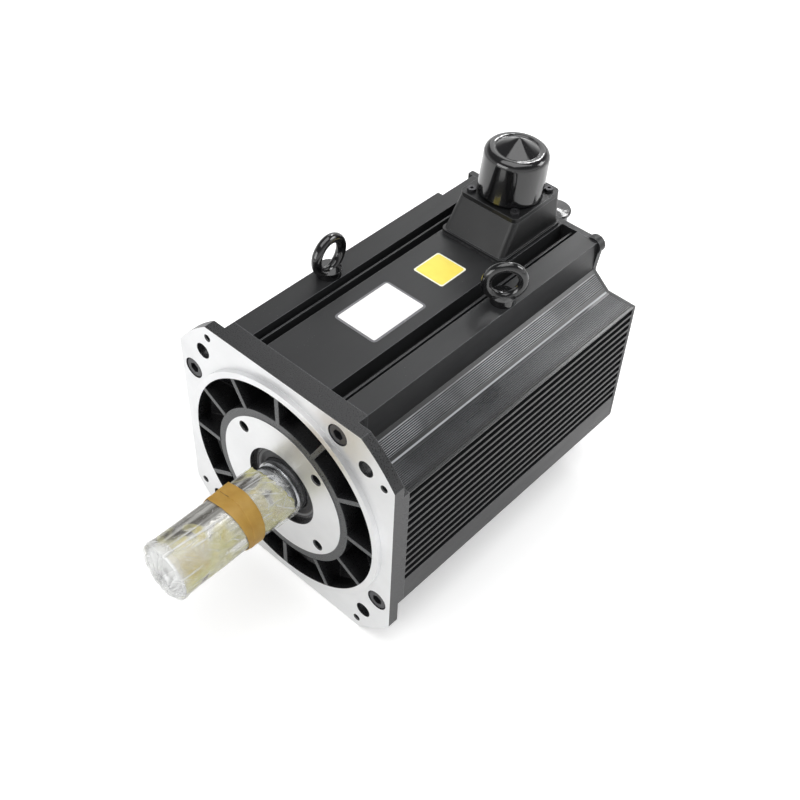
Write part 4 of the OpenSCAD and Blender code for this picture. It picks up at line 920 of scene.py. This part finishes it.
class SERVO_OT_shaft_wrap(Operator):
    """Waxed paper and clear film wound round the shaft end and gathered at the tip"""

    bl_idname = "servo.shaft_wrap"
    bl_label = "Shaft wrap"

    def execute(self, context):
        look = settings().wrap
        paper = self.paper(look)
        film = self.film(look)
        tags = self.flaps()
        return {"FINISHED"}

    def paper(self, look):
        """One closed skin: its outer side from the foot to the tip, and its inner side back."""
        around, along = 200, 130
        rings = []
        for shell in (0, 1):
            for j in range(along + 1):
                k = j if shell == 0 else along - j
                ring = []
                for i in range(around):
                    a = 2 * math.pi * i / around
                    torn = noise.noise(Vector((math.cos(a) * 5, math.sin(a) * 5, 8.0)))
                    start = min(WRAP_FOOT, ragged_foot(a) + 1.1 * MM + 1.8 * MM * torn)
                    y = start + (FOLD_START - start) * k / along
                    loose = wrap_slack(y) * slackness(a)
                    r = tent_radius(a, PAPER_ROOM) - shell * PAPER_THICK
                    r += loose * (0.20 * MM + 0.25 * MM * relief(a + 1.0, y))
                    ring.append(on_ring(r, a, y))
                rings.append(ring)
        bm, grid = loft(rings)
        close_round(bm, grid[-1], grid[0])
        paper = new_piece("shaft_paper", bm, wrapped_shaft(look.paper[:]), "rotor")
        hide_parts("shaft_wrap")
        return paper

    def film(self, look):
        """The body of the film, creased and closed over the tip."""
        around, body_rows, tip_rows = 260, 190, 34
        rings = []
        for j in range(body_rows + 1):
            ring = []
            for i in range(around):
                a = 2 * math.pi * i / around
                start = ragged_foot(a)
                y = start + (FOLD_START - start) * j / body_rows
                slack = wrap_slack(y) * slackness(a)
                near_tip = max(0.0, 1 - (y - WRAP_TIP) / (16 * MM))
                wander = noise.noise(Vector((math.cos(a), y * 40, math.sin(a))))
                pleats = math.sin(look.gather * a + 2.5 * wander) * near_tip ** 2
                puff = (1.2 if y > BAND_FOOT else 0.3) * MM * slack
                r = tent_radius(a, FILM_ROOM) + puff
                r += look.crease * (2.2 * slack * relief(a, y) + 0.6 * pleats)
                ring.append(on_ring(r, a, y))
            rings.append(ring)
        rings += self.gathered_tip(rings[-1], tip_rows, look)
        bm, grid = loft(rings)
        bm.faces.new(grid[-1])
        film = new_piece("shaft_film", bm, clear_film(look.film_milk[:]), "rotor")
        thicken(film, FILM_THICK, offset=1.0)
        return film

    def gathered_tip(self, last, rows, look):
        """Rings that close over the shaft tip in pleats, drawn together low on one side."""
        made = []
        for j in range(1, rows + 1):
            t = j / rows
            bulge = math.sin(min(1.0, t * 1.5) * math.pi / 2)
            ring = []
            for i, p in enumerate(last):
                a = 2 * math.pi * i / len(last)
                x = p[0] + (KNOT[0] - p[0]) * t * 0.985
                z = p[2] + (KNOT[1] - p[2]) * t * 0.985
                wander = 1.2 * noise.noise(Vector((math.cos(a) * 1.5, 2.0 * t, math.sin(a) * 1.5)))
                pleat = 1.0 - 2.0 * abs(math.sin(look.gather * (a + 0.25 * wander) / 2))
                second = ridged(Vector((math.cos(a) * 2.4, 0.9 * t, math.sin(a) * 2.4)))
                depth = (1.6 * pleat + 0.8 * second) * MM * math.sin(math.pi * min(1.0, t * 1.1))
                y = p[1] - 5.4 * MM * bulge + depth * (0.5 + 0.5 * t)
                ring.append((x, max(FOLD_REACH, min(y, FOLD_FLOOR)), z))
            made.append(ring)
        return made

    def flaps(self):
        """Loose tags of film: two at the foot and three round the tip."""
        material = bpy.data.materials["clear_film"]
        along, around = 12, 24
        made = []
        # Place along the shaft, place round it, length, rise and half spread
        tags = ((WRAP_FOOT - 1.5 * MM, -35.0, 12.0 * MM, 1.6 * MM, 30.0),
                (WRAP_FOOT - 5.0 * MM, 70.0, 10.0 * MM, 1.2 * MM, 22.0),
                (WRAP_TIP + 5.0 * MM, -60.0, 8.0 * MM, 1.7 * MM, 26.0),
                (WRAP_TIP + 6.0 * MM, 115.0, 9.0 * MM, 1.6 * MM, 34.0),
                (WRAP_TIP + 4.5 * MM, 200.0, 8.0 * MM, 1.5 * MM, 20.0))
        for index, (y0, middle, length, rise, spread) in enumerate(tags):
            rows = []
            for j in range(along + 1):
                v = j / along
                row = []
                for i in range(around + 1):
                    u = 2 * i / around - 1
                    a = math.radians(middle + spread * u)
                    wide = 1 - 0.25 * abs(noise.noise(Vector((u * 2, index * 3.0, 0.5))))
                    y = y0 + length * (v - 0.5) * wide
                    lift = rise * math.sin(math.pi * v) * (1 - u * u)
                    lift += 0.25 * MM * ridged(Vector((u * 2.0, v * 2.0, index * 5.0)))
                    r = tent_radius(a, TAG_ROOM) + max(0.0, lift)
                    row.append(on_ring(r, a, min(WRAP_FOOT, max(WRAP_TIP, y))))
                rows.append(row)
            bm, _ = loft(rows, closed_round=False)
            tag = new_piece("film_tag_" + "abcde"[index], bm, material, "rotor")
            thicken(tag, TAG_THICK)
            made.append(tag)
        return made


class SERVO_OT_rubber_band(Operator):
    """Flat rubber band in two turns that lean across each other"""

    bl_idname = "servo.rubber_band"
    bl_label = "Rubber band"

    def execute(self, context):
        look = settings().wrap
        material = amber_band(look.band[:])
        middle = (BAND_FOOT + BAND_TIP) / 2
        turns = (("rubber_turn_upper", middle + BAND_STEP, 0.42 * MM, math.radians(125.0)),
                 ("rubber_turn_lower", middle - BAND_STEP, 0.0, math.radians(290.0)))
        for index, (name, place, lift, towards) in enumerate(turns):
            piece = new_piece(name, self.turn(place, lift, towards), material,
                              "rotor")
            if index == 0:
                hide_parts("rubber_band")
        return {"FINISHED"}

    def turn(self, middle, lift, towards):
        """One flat turn with round edges, leaning forward in one direction."""
        around, steps = 220, 6
        half, thick = BAND_HALF, BAND_THICK
        section = []
        for side in (1, -1):
            for k in range(steps + 1):
                a = side * math.pi / 2 * (1 - 2 * k / steps)
                if side == -1:
                    a = math.pi + math.pi / 2 * (1 - 2 * k / steps)
                section.append((side * (half - thick / 2) + thick / 2 * math.cos(a),
                                thick / 2 * math.sin(a)))
            if side == 1:
                section += [(half * f, -thick / 2) for f in (0.6, 0.2, -0.2, -0.6)]
            else:
                section += [(half * f, thick / 2) for f in (-0.6, -0.2, 0.2, 0.6)]
        rings = []
        for i in range(around):
            a = 2 * math.pi * i / around
            base = tent_radius(a, BAND_ROOM) + thick / 2 + lift
            sway = BAND_LEAN * math.cos(a - towards)
            around_noise = Vector((math.cos(a), math.sin(a), towards)) * 2.4
            bow = 0.14 * MM * noise.noise(around_noise)
            pinch = 1.0 + 0.07 * noise.noise(around_noise * 1.7)
            roll = 0.22 * MM * noise.noise(around_noise * 1.3 + Vector((9, 0, 0)))
            ring = []
            for along, out in section:
                curl = roll * (along / half) ** 2
                r = base + out + bow + max(0.0, curl)
                ring.append(on_ring(r, a, middle + along * pinch + sway))
            rings.append(ring)
        bm, grid = loft(rings)
        close_round(bm, grid[-1], grid[0])
        return bm


class SERVO_OT_studio(Operator):
    """Pale floor, soft lamps, even light and the camera"""

    bl_idname = "servo.studio"
    bl_label = "Studio"

    def execute(self, context):
        look = settings().studio
        scene = context.scene
        scene.view_settings.view_transform = "Standard"
        self.floor(look)
        self.sky(scene, look)
        back = look.back_power
        for name, place, target, size, power in (
                ("overhead_softbox", (0.1, 0.1, 1.5), (0.0, 0.1, 0.0), (1.5, 1.2), look.key_power),
                ("front_softbox", (-0.2, -1.3, 0.5), (0.0, 0.0, 0.0), (1.0, 0.8), look.fill_power),
                ("rear_softbox", (-0.75, 1.45, 1.15), (0.0, 0.14, 0.1), (1.3, 1.0), back),
                ("side_softbox", (0.72, 1.10, 0.70), (0.1, 0.2, 0.05), (0.55, 0.5), back * 0.95),
                ("rear_strip", (-0.40, 1.45, 1.26), (0.09, 0.25, 0.07), (0.28, 0.30), back)):
            self.lamp(name, place, target, size, power)
        self.camera(scene, look)
        return {"FINISHED"}

    def floor(self, look):
        """A wide plane just under the motor."""
        bm = bmesh.new()
        bmesh.ops.create_grid(bm, x_segments=4, y_segments=4, size=FLOOR_HALF)
        mesh = bpy.data.meshes.new("floor")
        bm.to_mesh(mesh)
        bm.free()
        floor = bpy.data.objects.new("floor", mesh)
        floor.location = (0, 0, CAD_BOX[0][2] - FLOOR_GAP)
        bpy.context.scene.collection.objects.link(floor)
        mesh.materials.append(self.floor_material(look))

    def floor_material(self, look):
        """Pale floor that keeps the shadow, and fades to white for the camera farther out."""
        s = Shader("white_floor")
        s.set(Base_Color=(*look.floor,), Roughness=0.6, Specular_IOR_Level=0.2)
        plain = s.bsdf.outputs[0]
        reach = s.node("ShaderNodeVectorMath", {0: s.place()}, operation="LENGTH").outputs["Value"]
        strength = s.ramp(reach, *FLOOR_FADE, *FLOOR_GLOW)
        glow = s.node("ShaderNodeEmission", {"Strength": strength}).outputs[0]
        lit = s.node("ShaderNodeAddShader", {0: plain, 1: glow}).outputs[0]
        seen = s.node("ShaderNodeLightPath").outputs["Is Camera Ray"]
        shown = s.node("ShaderNodeMixShader", {0: seen, 1: plain, 2: lit}).outputs[0]
        out = next(n for n in s.tree.nodes if n.type == "OUTPUT_MATERIAL")
        s.feed(out, "Surface", shown)
        return s.material

    def sky(self, scene, look):
        """White for the camera; reflections darken from the horizon to the ceiling."""
        world = bpy.data.worlds.new("studio_sky")
        world.use_nodes = True
        world.node_tree.nodes.clear()
        s = Wiring(world.node_tree)
        path = s.node("ShaderNodeLightPath").outputs
        up = s.axis(2, s.node("ShaderNodeTexCoord").outputs["Generated"])
        fade = s.times(s.ramp(up, 0.04, 0.50), path["Is Glossy Ray"])
        tint = s.mix(fade, (1.0, 1.0, 1.0), (*look.ceiling,))
        room = s.node("ShaderNodeBackground", {"Color": tint}).outputs[0]
        even = s.node("ShaderNodeBackground", {"Color": (1.0, 1.0, 1.0), "Strength": look.sky})
        seen = s.math("MAXIMUM", path["Is Camera Ray"], path["Is Transmission Ray"])
        seen = s.math("MAXIMUM", seen, path["Is Glossy Ray"])
        shown = s.node("ShaderNodeMixShader", {0: seen, 1: even.outputs[0], 2: room})
        s.node("ShaderNodeOutputWorld", {"Surface": shown.outputs[0]})
        scene.world = world

    def lamp(self, name, place, target, size, power):
        """A soft rectangular lamp that looks at a target."""
        light = bpy.data.lights.new(name, "AREA")
        light.shape = "RECTANGLE"
        light.size, light.size_y = size
        light.energy = power
        lamp = bpy.data.objects.new(name, light)
        lamp.location = place
        aim = Vector(target) - Vector(place)
        lamp.rotation_euler = aim.to_track_quat("-Z", "Y").to_euler()
        bpy.context.scene.collection.objects.link(lamp)

    def camera(self, scene, look):
        """The camera that the scene is seen through."""
        data = bpy.data.cameras.new("camera")
        data.lens = look.lens
        data.sensor_width = 36.0
        data.clip_start = 0.01
        camera = bpy.data.objects.new("camera", data)
        turn = (Matrix.Rotation(look.heading, 4, "Z")
                @ Matrix.Rotation(math.pi / 2 - look.tilt, 4, "X")
                @ Matrix.Rotation(look.roll, 4, "Z"))
        camera.matrix_world = Matrix.Translation(look.camera_at) @ turn
        scene.collection.objects.link(camera)
        scene.camera = camera


# ---------------- panel
PIECES = (SERVO_OT_castings, SERVO_OT_housing, SERVO_OT_black_parts, SERVO_OT_bare_steel,
          SERVO_OT_rubber_parts, SERVO_OT_nameplate, SERVO_OT_sticker, SERVO_OT_shaft_wrap,
          SERVO_OT_rubber_band, SERVO_OT_studio)


class SERVO_PT_panel(Panel):
    """Lists the pieces and the settings of the motor"""

    bl_label = "Servo Motor"
    bl_idname = "SERVO_PT_panel"
    bl_space_type = "VIEW_3D"
    bl_region_type = "UI"
    bl_category = "Servo Motor"

    def draw(self, context):
        column = self.layout.column()
        for operator in PIECES:
            column.operator(operator.bl_idname)
        look = context.scene.servo_motor
        for group in (look.finish, look.wrap, look.plates, look.studio):
            box = column.box()
            for key in group.bl_rna.properties.keys():
                if key not in {"rna_type", "name"}:
                    box.prop(group, key)


CLASSES = (FinishSettings, WrapSettings, PlateSettings, StudioSettings, MotorSettings,
           *PIECES, SERVO_PT_panel)


def register():
    for cls in CLASSES:
        bpy.utils.register_class(cls)
    bpy.types.Scene.servo_motor = PointerProperty(type=MotorSettings)


def unregister():
    del bpy.types.Scene.servo_motor
    for cls in reversed(CLASSES):
        bpy.utils.unregister_class(cls)


def main():
    """Builds the whole scene, piece by piece."""
    register()
    for operator in PIECES:
        group, name = operator.bl_idname.split(".")
        getattr(getattr(bpy.ops, group), name)()


if __name__ == "__main__":
    main()
